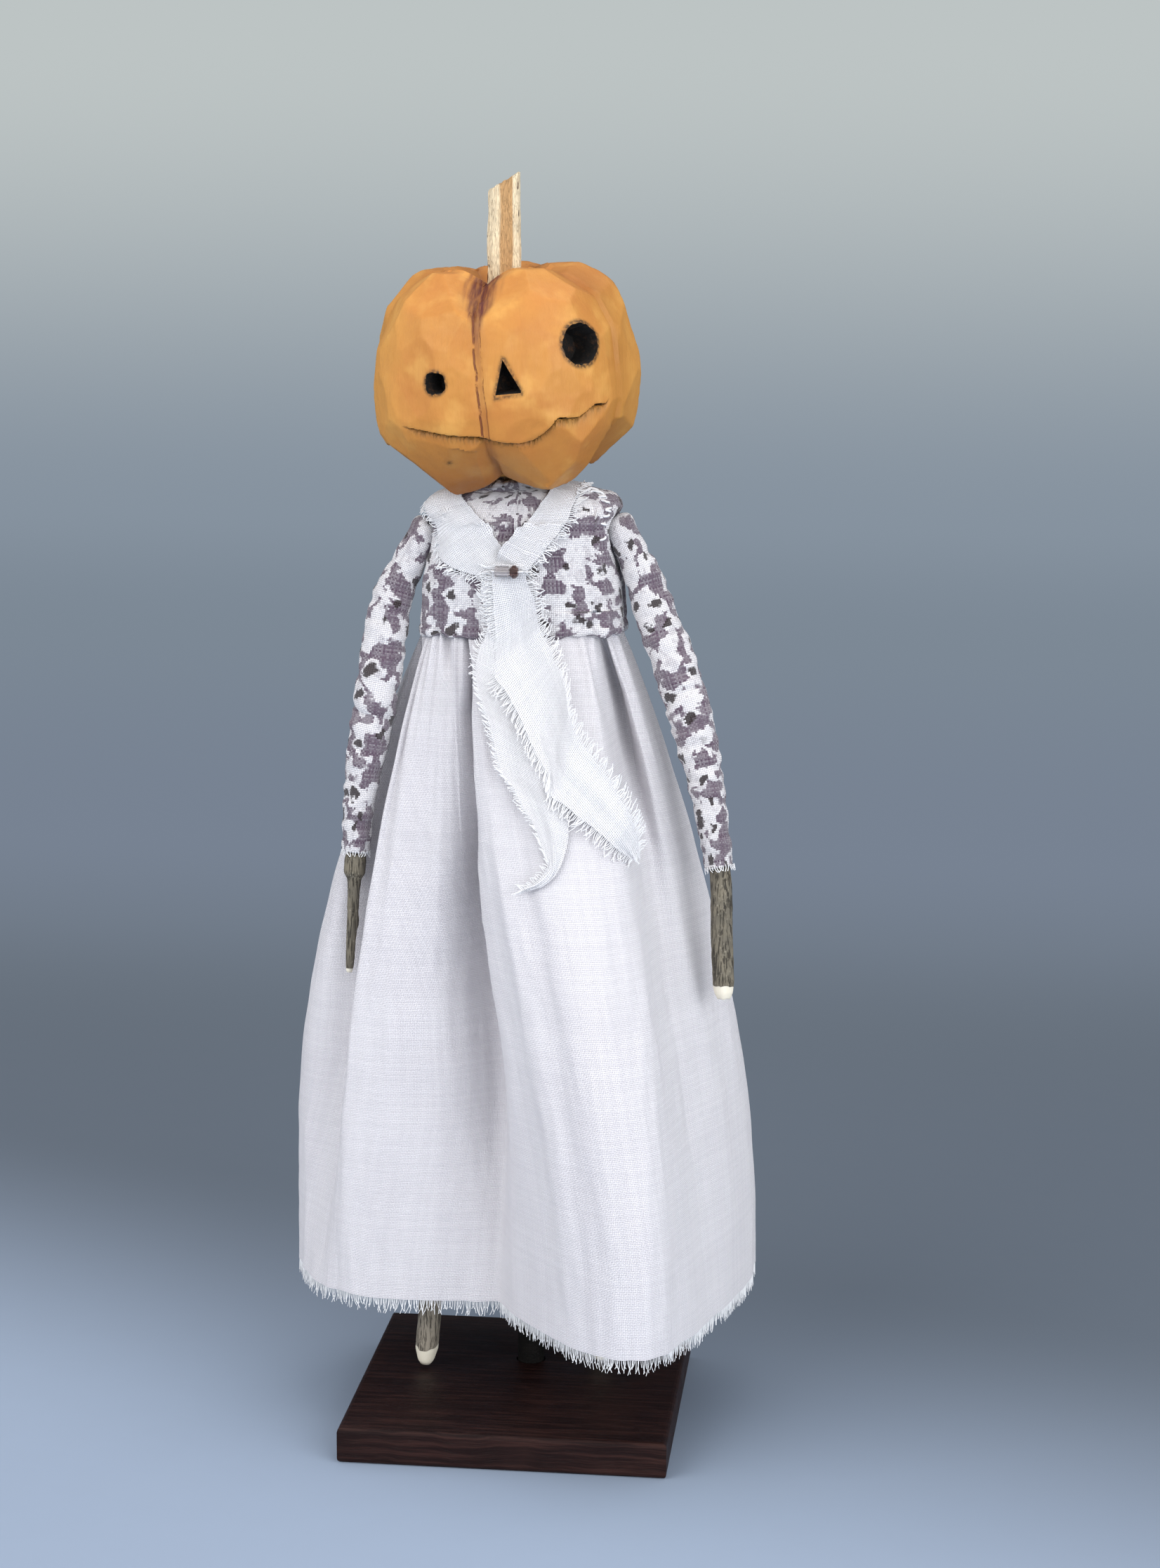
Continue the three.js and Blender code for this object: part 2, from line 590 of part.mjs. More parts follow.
function beadThread() {
  const from = BUGLE_AT.x - 1;
  const to = BUGLE_AT.x + BUGLE_LENGTH + CLEARANCE + SEED_LENGTH + 1;
  const cloth = beadY + SEED_RADIUS - BEAD_THREAD_RADIUS;
  const curve = new THREE.CatmullRomCurve3([
    point(from, cloth, BUGLE_AT.z), point(from + 0.2, beadY + 0.5, BUGLE_AT.z),
    point(from + 0.9, beadY, BUGLE_AT.z), point((from + to) / 2, beadY, BUGLE_AT.z),
    point(to - 0.9, beadY, BUGLE_AT.z), point(to - 0.2, beadY + 0.5, BUGLE_AT.z),
    point(to, cloth, BUGLE_AT.z),
  ]);
  return solid(sweep(curve, evenStations(0, curve.getLength(), 16, () => BEAD_THREAD_RADIUS), 6));
}

// Legs, in frames at their hips: X is the staple's bar, and the twig hangs along -Z

const eyeDrop = EYE_RING_RADIUS - EYE_WIRE_RADIUS - STAPLE_WIRE_RADIUS - CLEARANCE;
const eyeBottom = -(eyeDrop + EYE_RING_RADIUS + EYE_WIRE_RADIUS);

function hipStaple() {
  const reach = HIP_DROP + STAPLE_IN_BLOCK;
  const side = STAPLE_HALF_WIDTH;
  const bend = 1;
  const curve = new THREE.CurvePath();
  curve.add(new THREE.LineCurve3(point(-side, 0, reach), point(-side, 0, bend)));
  curve.add(new THREE.QuadraticBezierCurve3(point(-side, 0, bend), point(-side, 0, 0), point(bend - side, 0, 0)));
  curve.add(new THREE.LineCurve3(point(bend - side, 0, 0), point(side - bend, 0, 0)));
  curve.add(new THREE.QuadraticBezierCurve3(point(side - bend, 0, 0), point(side, 0, 0), point(side, 0, bend)));
  curve.add(new THREE.LineCurve3(point(side, 0, bend), point(side, 0, reach)));
  const circle = new THREE.Shape();
  circle.absarc(0, 0, STAPLE_WIRE_RADIUS, 0, 2 * Math.PI);
  return solid(new THREE.ExtrudeGeometry(circle, { extrudePath: curve, steps: 28, curveSegments: 4 }));
}

function hipEye() {
  const ring = new THREE.TorusGeometry(EYE_RING_RADIUS, EYE_WIRE_RADIUS, 8, 18);
  ring.rotateY(Math.PI / 2);
  ring.translate(0, 0, -eyeDrop);
  const shank = rod(EYE_WIRE_RADIUS * 1.1, eyeBottom - EYE_SHANK_LENGTH, eyeBottom + EYE_WIRE_RADIUS, 10);
  return solid(ring).add(solid(shank));
}

function legTwig(leg) {
  const top = eyeBottom - CLEARANCE;
  const curve = new THREE.CatmullRomCurve3([
    point(0, 0, top), point(leg.sway, 0, THREE.MathUtils.lerp(top, -legLength(leg), 0.4)),
    point(leg.sway / 2, 0, THREE.MathUtils.lerp(top, -legLength(leg), 0.8)), point(0, 0, -legLength(leg))]);
  const length = curve.getLength();
  const shank = length - LEG_TIP_LENGTH;
  const stations = [...evenStations(0, shank, 7, () => LEG_RADIUS), [length, LEG_TIP_RADIUS]];
  const hole = rod(EYE_WIRE_RADIUS * 1.1 + CLEARANCE, eyeBottom - EYE_SHANK_LENGTH - CLEARANCE, top + 1, 10);
  return solid(sweep(curve, stations, 14)).subtract(solid(hole));
}

// Head

const headTop = HEAD_BOTTOM + HEAD_HEIGHT;
const headMiddle = HEAD_BOTTOM + HEAD_HEIGHT * 0.49;
const stemSocketFloor = headTop - 4.8 - STEM_SEAT;

// The head's outline from the neck's dimple to the stem's, as a share of its radius and a height.
function headOutline() {
  const rise = (share) => HEAD_BOTTOM + share * HEAD_HEIGHT;
  const dimple = NECK_RADIUS + 1.3;
  return [
    [0, HEAD_BOTTOM + DIMPLE_DEPTH], [dimple / HEAD_RADIUS, HEAD_BOTTOM + DIMPLE_DEPTH - 0.2],
    [(dimple + 2) / HEAD_RADIUS, rise(0.034)], [0.42, rise(0)], [0.54, rise(0.03)], [0.69, rise(0.1)],
    [0.84, rise(0.2)], [0.945, rise(0.33)], [0.995, rise(0.47)], [0.99, rise(0.62)], [0.94, rise(0.77)],
    [0.85, rise(0.88)], [0.69, rise(0.965)], [0.5, rise(1)], [0.33, rise(0.98)], [0.22, rise(0.93)],
    [0.15, headTop - 4.6], [0, headTop - 4.8],
  ];
}

// How far the surface is from the head's axis, at an angle from the front groove.
function headRadius(share, z, turn) {
  const middle = Math.abs(z - headMiddle) / (HEAD_HEIGHT / 2);
  const ends = THREE.MathUtils.smoothstep(middle, 0.45, 1);
  const depth = THREE.MathUtils.lerp(GROOVE_DEPTH, GROOVE_DEPTH_AT_ENDS, ends);
  const valley = 1 - Math.abs(Math.sin(turn * LOBES / 2)) ** 0.55;
  return share * HEAD_RADIUS - depth * valley * THREE.MathUtils.smoothstep(share, 0.33, 0.5);
}

function headPoint(share, z, turn) {
  const radius = headRadius(share, z, turn);
  return point(radius * Math.sin(turn), -radius * HEAD_DEPTH_SHARE * Math.cos(turn), z);
}

// A point on the carved skin, at an angle and a height from the head's middle.
function skinPoint(turnDegrees, rise) {
  const z = headMiddle + rise;
  const outline = headOutline();
  const upper = outline.findIndex((entry, k) => k > 3 && entry[1] > z);
  const [a, b] = [outline[upper - 1], outline[upper]];
  const share = THREE.MathUtils.mapLinear(z, a[1], b[1], a[0], b[0]);
  return headPoint(share, z, degrees(turnDegrees));
}

function eyeSocket(eye) {
  const skin = skinPoint(eye.turn, eye.rise);
  const inwards = point(-skin.x, -skin.y, headMiddle + eye.rise * 0.6 - skin.z).normalize();
  const hole = new THREE.CylinderGeometry(eye.radius * 0.8, eye.radius, eye.depth + 3, 16);
  hole.translate(0, eye.depth / 2 - 1.5, 0);
  hole.applyQuaternion(new THREE.Quaternion().setFromUnitVectors(point(0, 1, 0), inwards));
  hole.translate(skin.x, skin.y, skin.z);
  return solid(hole);
}

function noseSocket() {
  const corners = [skinPoint(NOSE.left, NOSE.bottom), skinPoint(NOSE.right, NOSE.bottom),
    skinPoint(NOSE.apex, NOSE.top)];
  const middle = skinPoint(NOSE.apex, (NOSE.bottom + NOSE.top) / 2);
  const inwards = point(-middle.x, -middle.y, 0).normalize();
  const inner = corners.map((corner) => corner.clone().lerp(middle, 0.25).addScaledVector(inwards, NOSE.depth));
  const outer = corners.map((corner) => corner.clone().addScaledVector(inwards, -3));
  return solid(new LoftGeometry([inner, outer], { capStart: true, capEnd: true }));
}

function mouthCut() {
  const sections = MOUTH.map(([turn, rise], k) => {
    const ends = k === 0 || k === MOUTH.length - 1 ? 0.3 : 1;
    const skin = skinPoint(turn, rise);
    const out = point(skin.x, skin.y, 0).normalize();
    const at = (reach, height) => skin.clone().addScaledVector(out, reach).add(point(0, 0, height * ends));
    return [at(1.5, 0.35 * MOUTH_CUT), at(1.5, -1.4 * MOUTH_CUT), at(-1.6 * MOUTH_CUT * ends, 0.2 * MOUTH_CUT)];
  });
  return solid(new LoftGeometry(sections, { capStart: true, capEnd: true }));
}

function stemSection(extra, z, slant) {
  const corners = [[-1, -0.35], [-0.55, -0.9], [0.25, -0.85], [0.95, -0.4], [0.9, 0.45], [0.3, 0.9], [-0.7, 0.75]];
  const radius = STEM_RADIUS + extra;
  return corners.map(([x, y]) => point(x * radius, y * radius, z + (x - 0.95) / 1.95 * slant));
}

const STEM_AT = { x: 1.2, y: 0, lean: 5.1 };

function stemForm(extra, from, to, slant) {
  const form = new LoftGeometry([stemSection(extra, from, 0), stemSection(extra, to, slant)],
    { capStart: true, capEnd: true });
  form.translate(0, 0, -stemSocketFloor);
  form.rotateY(degrees(STEM_AT.lean));
  form.translate(STEM_AT.x, STEM_AT.y, stemSocketFloor);
  return solid(form);
}

function pumpkinHead() {
  const sections = headOutline().map(([share, z]) => Array.from({ length: HEAD_SIDES }, (_, k) =>
    headPoint(share, z, (k / HEAD_SIDES) * 2 * Math.PI)));
  let body = solid(new LoftGeometry(sections));
  body = body.subtract(solid(rod(PEG_RADIUS + CLEARANCE, 0, HEAD_BOTTOM + DIMPLE_DEPTH + PEG_IN_HEAD)));
  body = body.subtract(stemForm(CLEARANCE, stemSocketFloor, headTop + 10, 0));
  body = body.subtract(noseSocket()).subtract(mouthCut());
  return EYES.reduce((rest, eye) => rest.subtract(eyeSocket(eye)), body);
}

function stem() {
  return stemForm(0, stemSocketFloor + CLEARANCE, stemSocketFloor + STEM_SEAT + STEM_HEIGHT, STEM_SLANT);
}

// Assembly

const figure = new THREE.Group();
figure.add(piece('base_board', baseBoard(), baseWood));
figure.add(piece('support_post', supportPost(), blackPaint));

const doll = new THREE.Group();
doll.position.set(DOLL_AT.x, DOLL_AT.y, BASE_THICKNESS + POST_FREE_LENGTH);
figure.add(doll);
doll.add(piece('torso_block', torsoBlock(), blockWood));
doll.add(piece('bodice', bodice(), printedCotton));
doll.add(piece('skirt', skirt(), muslin));
doll.add(piece('scarf', scarf(), scarfMuslin));
doll.add(piece('bugle_bead', bugleBead(), clearGlass));
doll.add(piece('seed_bead', seedBead(), brownGlass));
doll.add(piece('bead_thread', beadThread(), thread));

const neck = new THREE.Group();
neckFrame.decompose(neck.position, neck.quaternion, neck.scale);
doll.add(neck);
neck.add(piece('neck_peg', neckPeg(), blockWood));

const head = new THREE.Group();
head.rotation.z = degrees(HEAD_TURN_DEGREES);
neck.add(head);
head.add(piece('pumpkin_head', pumpkinHead(), pumpkinWood));
head.add(piece('stem', stem(), stemWood));

for (const [side, arm] of Object.entries(ARMS)) {
  const shoulder = new THREE.Group();
  shoulder.position.copy(arm.shoulder);
  shoulder.add(piece(`${side}_armhole_thread`, armholeThread(arm), thread));
  shoulder.add(piece(`${side}_sleeve`, sleeve(arm), printedCotton));
  shoulder.add(piece(`${side}_hand_twig`, handTwig(arm), bark));
  doll.add(shoulder);
}

for (const [side, leg] of Object.entries(LEGS)) {
  const hip = new THREE.Group();
  hip.position.set(leg.hip.x, leg.hip.y, -HIP_DROP);
  doll.add(hip);
  hip.add(piece(`${side}_hip_staple`, hipStaple(), steel));
  const hanging = new THREE.Group();
  const down = point(leg.foot.x, leg.foot.y, -legDrop).normalize();
  hanging.quaternion.setFromUnitVectors(point(0, 0, -1), down);
  hip.add(hanging);
  hanging.add(piece(`${side}_hip_eye`, hipEye(), steel));
  hanging.add(piece(`${side}_leg_twig`, legTwig(leg), bark));
}

export default figure;
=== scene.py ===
"""Pumpkin head doll: the cloth, carving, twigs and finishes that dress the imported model."""

import math
import random

import bpy
import numpy as np
from mathutils import Matrix, Vector, noise
from mathutils.bvhtree import BVHTree


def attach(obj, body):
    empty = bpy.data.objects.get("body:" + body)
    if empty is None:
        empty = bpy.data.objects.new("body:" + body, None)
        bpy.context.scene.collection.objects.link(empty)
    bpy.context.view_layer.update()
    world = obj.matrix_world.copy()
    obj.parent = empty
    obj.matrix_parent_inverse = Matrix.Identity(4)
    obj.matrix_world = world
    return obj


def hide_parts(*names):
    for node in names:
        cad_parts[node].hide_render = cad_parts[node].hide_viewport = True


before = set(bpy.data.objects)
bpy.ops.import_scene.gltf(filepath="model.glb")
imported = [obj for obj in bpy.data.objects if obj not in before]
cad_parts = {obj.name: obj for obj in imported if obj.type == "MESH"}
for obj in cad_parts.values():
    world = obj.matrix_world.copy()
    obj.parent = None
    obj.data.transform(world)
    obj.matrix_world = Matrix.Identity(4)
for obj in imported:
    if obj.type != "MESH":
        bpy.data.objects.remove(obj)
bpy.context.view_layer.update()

bl_info = {
    "name": "Pumpkin head doll",
    "version": (1, 0, 0),
    "blender": (4, 5, 0),
    "location": "View3D > Sidebar > Doll",
    "description": "Makes the doll's head, cloth, twigs and finishes round its frame",
    "category": "Object",
}

MM = 0.001
SEED = 41
ROUND = 2 * math.pi

# Places in the row frame, in millimetres
DOLL_AT = np.array([-1.5, 10.0, 190.0])
BLOCK_HEIGHT = 36.0


# ---------------------------------------------------------------- sizes and colours

def length(name, description, millimetres, low=0.0):
    return bpy.props.FloatProperty(name=name, description=description, default=millimetres * MM, min=low * MM,
                                   subtype="DISTANCE", unit="LENGTH")


def colour(name, description, value):
    return bpy.props.FloatVectorProperty(name=name, description=description, default=linear(value), min=0, max=1,
                                         size=3, subtype="COLOR")


def linear(text):
    """A colour written as six hexadecimal digits, as linear red, green and blue."""
    parts = [int(text[i:i + 2], 16) / 255 for i in (0, 2, 4)]
    return tuple(c / 12.92 if c <= 0.04045 else ((c + 0.055) / 1.055) ** 2.4 for c in parts)


class HeadSettings(bpy.types.PropertyGroup):
    lip: length("Lip", "How far the lower lip is cut back under the upper one", 1.5)
    light: colour("Light wood", "Stain on the faces cut last", "c98a40")
    dark: colour("Dark wood", "Stain where it gathers", "bd7a37")
    groove_stain: colour("Groove stain", "Red-brown stain rubbed into the front groove", "5c2820")
    burnt: colour("Burnt wood", "Inside the eyes and the nose", "0d0805")


class ClothSettings(bpy.types.PropertyGroup):
    cotton_pitch: length("Cotton pitch", "From one thread of the printed cotton to the next", 0.47, 0.1)
    muslin_pitch: length("Muslin pitch", "From one thread of the muslin to the next", 0.43, 0.1)
    muslin: colour("Muslin", "Skirt", "e3e0e3")
    scarf: colour("Scarf", "Scarf muslin", "eeedef")
    ground: colour("Print ground", "Colour between the blossoms", "665063")
    blossom: colour("Blossom", "Petals of the print", "f3f0f1")
    centre: colour("Blossom centre", "Middle of each blossom", "2c1e1e")


class WoodSettings(bpy.types.PropertyGroup):
    bark: colour("Bark", "Twigs", "6d675b")
    bark_dark: colour("Bark cracks", "Cracks and scars in the bark", "35312d")
    bare: colour("Bare wood", "Whittled tips", "f2ecdc")
    stem: colour("Stem wood", "Pale wood of the split branch", "efdcb8")
    heart: colour("Heartwood", "Darker wood of the split branch", "c89c68")
    base: colour("Base stain", "Dark red-brown stain of the base", "1a0c0b")


class StageSettings(bpy.types.PropertyGroup):
    floor: colour("Floor", "Paper in front of the doll", "99a7bb")
    # Painted shading: the paper darkens towards the back
    far_floor_shading: colour("Far floor", "Paper behind the doll", "636c77")
    # Painted light and shading on the backdrop: darker where it turns up, paler high up
    low_backdrop_shading: colour("Low backdrop", "Paper where it turns up", "86929f")
    high_backdrop_light: colour("High backdrop", "Paper above the doll", "bdc4c4")


# ---------------------------------------------------------------- shader building

class Value:
    """A shader node's output, which can be added, subtracted and multiplied like a number."""

    def __init__(self, graph, socket):
        self.graph, self.socket = graph, socket

    def __add__(self, other):
        return self.graph.math("ADD", self, other)

    def __sub__(self, other):
        return self.graph.math("SUBTRACT", self, other)

    def __rsub__(self, other):
        return self.graph.math("SUBTRACT", other, self)

    def __mul__(self, other):
        return self.graph.math("MULTIPLY", self, other)

    def __abs__(self):
        return self.graph.math("ABSOLUTE", self)


class Graph:
    """Adds shader nodes to one tree in short calls. A Value or a plain value can be given for each input."""

    def __init__(self, tree):
        self.tree = tree

    def add(self, kind, inputs=None, **settings):
        node = self.tree.nodes.new("ShaderNode" + kind)
        for key, value in settings.items():
            setattr(node, key, value)
        for key, value in (inputs or {}).items():
            self.feed(node.inputs[key], value)
        return node

    def value(self, kind, inputs=None, output=0, **settings):
        return Value(self, self.add(kind, inputs, **settings).outputs[output])

    def outputs(self, kind, inputs, **settings):
        return {socket.name: Value(self, socket) for socket in self.add(kind, inputs, **settings).outputs}

    def feed(self, socket, value):
        if isinstance(value, Value):
            self.tree.links.new(value.socket, socket)
        elif socket.type == "RGBA" and len(value) == 3:
            socket.default_value = (*value, 1)
        else:
            socket.default_value = value

    def math(self, operation, a, b=0.0):
        """Calculates with numbers or, where a is a vector or a colour, with vectors."""
        if not isinstance(a, Value) or a.socket.type == "VALUE":
            return self.value("Math", {0: a, 1: b}, operation=operation)
        if operation == "MULTIPLY" and not isinstance(b, tuple):
            return self.value("VectorMath", {0: a, "Scale": b}, operation="SCALE")
        return self.value("VectorMath", {0: a, 1: b}, operation=operation)

    def split(self, vector):
        return [Value(self, socket) for socket in self.add("SeparateXYZ", {0: vector}).outputs]

    def join(self, x, y):
        return self.value("CombineXYZ", {0: x, 1: y})

    def mix(self, share, a, b):
        return self.value("Mix", {0: share, 6: a, 7: b}, 2, data_type="RGBA")

    def layers(self, colour, *layers):
        """Lays colours over a colour in turn, each given with its share and as a colour or its digits."""
        for share, tone in layers:
            colour = self.mix(share, colour, linear(tone) if isinstance(tone, str) else tone)
        return colour

    def span(self, value, low, high, to_low=0.0, to_high=1.0, kind="SMOOTHSTEP"):
        return self.value("MapRange", {0: value, 1: low, 2: high, 3: to_low, 4: to_high}, interpolation_type=kind)

    def noise(self, vector, scale, detail=2.0, roughness=0.5, distortion=0.0):
        return self.value("TexNoise", {"Vector": vector, "Scale": scale, "Detail": detail, "Roughness": roughness,
                                       "Distortion": distortion}, "Fac")

    def shifting(self, amount, vector, scale, detail=2.0):
        """Noise from -amount / 2 to amount / 2."""
        return (self.noise(vector, scale, detail) - 0.5) * amount

    def streaks(self, vector, stretch, detail=2.0, roughness=0.5):
        stretched = self.value("Mapping", {"Vector": vector, "Scale": stretch})
        return self.noise(stretched, 1.0, detail, roughness)

    def attribute(self, name):
        return self.value("Attribute", None, "Fac", attribute_name=name)

    def place(self):
        """The place on the object, in millimetres."""
        return self.value("TexCoord", None, "Object") * (1 / MM)

    def finish(self, colour, height=None, distance=1.0):
        """Gives the shader its colour and a bump: a height counted in distances, each so many millimetres."""
        self.feed(self.shader.inputs["Base Color"], colour)
        if height is not None:
            bump = self.value("Bump", {"Height": height, "Distance": distance * MM, "Strength": 1.0})
            self.feed(self.shader.inputs["Normal"], bump)
        return self.material


def new_material(name, roughness, **constants):
    """A graph for a new material with one Principled shader."""
    material = bpy.data.materials.new(name)
    material.use_nodes = True
    g = Graph(material.node_tree)
    g.tree.nodes.clear()
    g.material, g.shader = material, g.add("BsdfPrincipled", {"Roughness": roughness})
    for key, value in constants.items():
        g.shader.inputs[key.replace("_", " ")].default_value = value
    g.tree.links.new(g.shader.outputs[0], g.add("OutputMaterial").inputs[0])
    return g


def new_group(name, **inputs):
    """A graph for a new node group, and the group's inputs by name."""
    tree = bpy.data.node_groups.new(name, "ShaderNodeTree")
    for label, value in inputs.items():
        kind = "NodeSocketVector" if isinstance(value, tuple) else "NodeSocketFloat"
        tree.interface.new_socket(name=label, in_out="INPUT", socket_type=kind).default_value = value
    graph = Graph(tree)
    return graph, {socket.name: Value(graph, socket) for socket in tree.nodes.new("NodeGroupInput").outputs}


def close_group(g, **outputs):
    for label in outputs:
        g.tree.interface.new_socket(name=label, in_out="OUTPUT", socket_type="NodeSocketFloat")
    sink = g.tree.nodes.new("NodeGroupOutput")
    for label, value in outputs.items():
        g.feed(sink.inputs[label], value)
    return g.tree


def weave_group():
    """Plain weave: Height of the threads, Gaps between them, Tone of each thread, and which threads cross."""
    g, given = new_group("Plain weave", Place=(0.0, 0.0, 0.0), Pitch=0.5, Wander=0.15)
    place = given["Place"]
    drift = (g.noise(place, 0.35) + g.noise(place, 2.2, 1.0) * 0.3 - 0.65) * 4.0
    moved = place + g.join(1.0, 0.8) * (drift * given["Wander"])
    across, along, _ = g.split(moved * g.math("DIVIDE", 1.0, given["Pitch"]))
    warp, weft = g.math("FLOOR", across), g.math("FLOOR", along)
    warp_in, weft_in = [g.math("SINE", g.math("FRACT", way) * math.pi) for way in (across, along)]
    tones = [g.value("TexWhiteNoise", {"W": thread}, "Value", noise_dimensions="1D")
             for thread in (warp, weft + 731.0)]
    over = g.math("MODULO", warp + weft + 2000.0, 2.0)

    def upper(of_warp, of_weft):
        return of_warp * (1.0 - over) + of_weft * over

    return close_group(
        g, Height=upper(warp_in * (weft_in * 0.45 + 0.55), weft_in * (warp_in * 0.45 + 0.55)),
        Gaps=g.span(g.math("MAXIMUM", warp_in, weft_in), 0.35, 0.72, 1.0, 0.0),
        Tone=upper(*tones), Warp=warp, Weft=weft, Over=over)


def grain_group():
    """Wood grain that runs along Z: Streaks from light to dark and the finest Pores."""
    g, given = new_group("Wood grain", Place=(0.0, 0.0, 0.0), Scale=1.0)
    spread = given["Place"] * given["Scale"]
    bent = spread + g.join(g.noise(spread, 0.12), 0.0) * 2.0
    return close_group(g, Streaks=g.streaks(bent, (1.6, 1.6, 0.07), 5.0, 0.6),
                       Pores=g.span(g.streaks(bent, (7.0, 7.0, 0.35)), 0.52, 0.72))


def cloth_material(name, base, pitch, weave, depth, sheer=None, mottle=0.5):
    """Plain woven cloth: base is a colour or a function of the graph that gives one."""
    g = new_material(name, 0.95, Sheen_Weight=0.25, Sheen_Roughness=0.5, Specular_IOR_Level=0.2)
    place = g.value("UVMap", None, "UV", uv_map="cloth")
    threads = g.outputs("Group", {"Place": place, "Pitch": pitch / MM, "Wander": 0.12}, node_tree=weave)
    ground = base(g, place, threads) if callable(base) else g.mix(0.0, base, base)
    toned = g.mix(g.span(threads["Tone"], 0.0, 1.0) * 0.2, ground, ground * (0.58, 0.56, 0.6))
    shaded = g.mix(threads["Gaps"] * 0.5, toned, (0.2, 0.18, 0.2))
    patches = g.span(g.noise(place, 0.06, 3.0, 0.55), 0.35, 0.75) * (mottle * 0.2)
    if sheer is not None:
        g.feed(g.shader.inputs["Alpha"], g.span(threads["Gaps"], 0.0, 1.0, 1.0, sheer))
    return g.finish(g.mix(patches, shaded, shaded * (0.73, 0.7, 0.73)),
                    threads["Height"] + g.noise(place, 6.0, 2.0, 0.7) * 0.5, depth)


def print_colour(cloth):
    """Ragged white blossoms with small dark middles on a plain ground, dyed thread by thread."""
    apart = 7.4  # millimetres from one blossom to the next

    def paint(g, place, threads):
        crossing = g.join(threads["Warp"], threads["Weft"]) * (cloth.cotton_pitch / MM)
        spot = crossing * 0.75 + place * 0.25
        bend = g.value("TexNoise", {"Vector": spot, "Scale": 0.3, "Detail": 3.0}, "Color")
        spot = spot + (bend - (0.5, 0.5, 0.5)) * 5.5
        edges, cells = [g.outputs("TexVoronoi", {"Vector": spot, "Scale": 1 / apart, "Randomness": 0.8}, feature=kind,
                                  voronoi_dimensions="2D") for kind in ("DISTANCE_TO_EDGE", "F1")]
        chance = g.split(cells["Color"])
        x, y, _ = g.split(spot - cells["Position"])
        distance = g.value("VectorMath", {0: g.join(x, y)}, "Value", operation="LENGTH")
        turn = g.math("ARCTAN2", y, x) + chance[0] * 6.28
        notch = (1.0 - abs(g.math("SINE", turn * 2.0))) * g.span(distance, 1.6, 4.2, 0.0, 1.4)
        width = g.span(g.noise(spot, 0.17), 0.36, 0.66, -1.35, 2.8)
        between = g.span(edges["Distance"] * apart - width - notch, -0.25, 0.35, 1.0, 0.0)
        tinted = g.span(g.streaks(spot, (0.5, 0.16, 1.0)), 0.52, 0.68) * 0.3
        dark = g.mix(threads["Over"], cloth.ground, tuple(c * 0.72 for c in cloth.ground))
        lighter = g.mix(threads["Tone"] * 0.3, dark, cloth.blossom)
        painted = g.mix(g.math("MAXIMUM", between, tinted), cloth.blossom, lighter)
        ragged = distance + g.shifting(1.5, spot, 0.8)
        dot = g.span(ragged - (chance[1] * 0.5 + 0.84), -0.1, 0.25, 1.0, 0.0)
        return g.mix(dot * g.span(chance[2], 0.12, 0.16) * 0.95, painted, cloth.centre)

    return paint


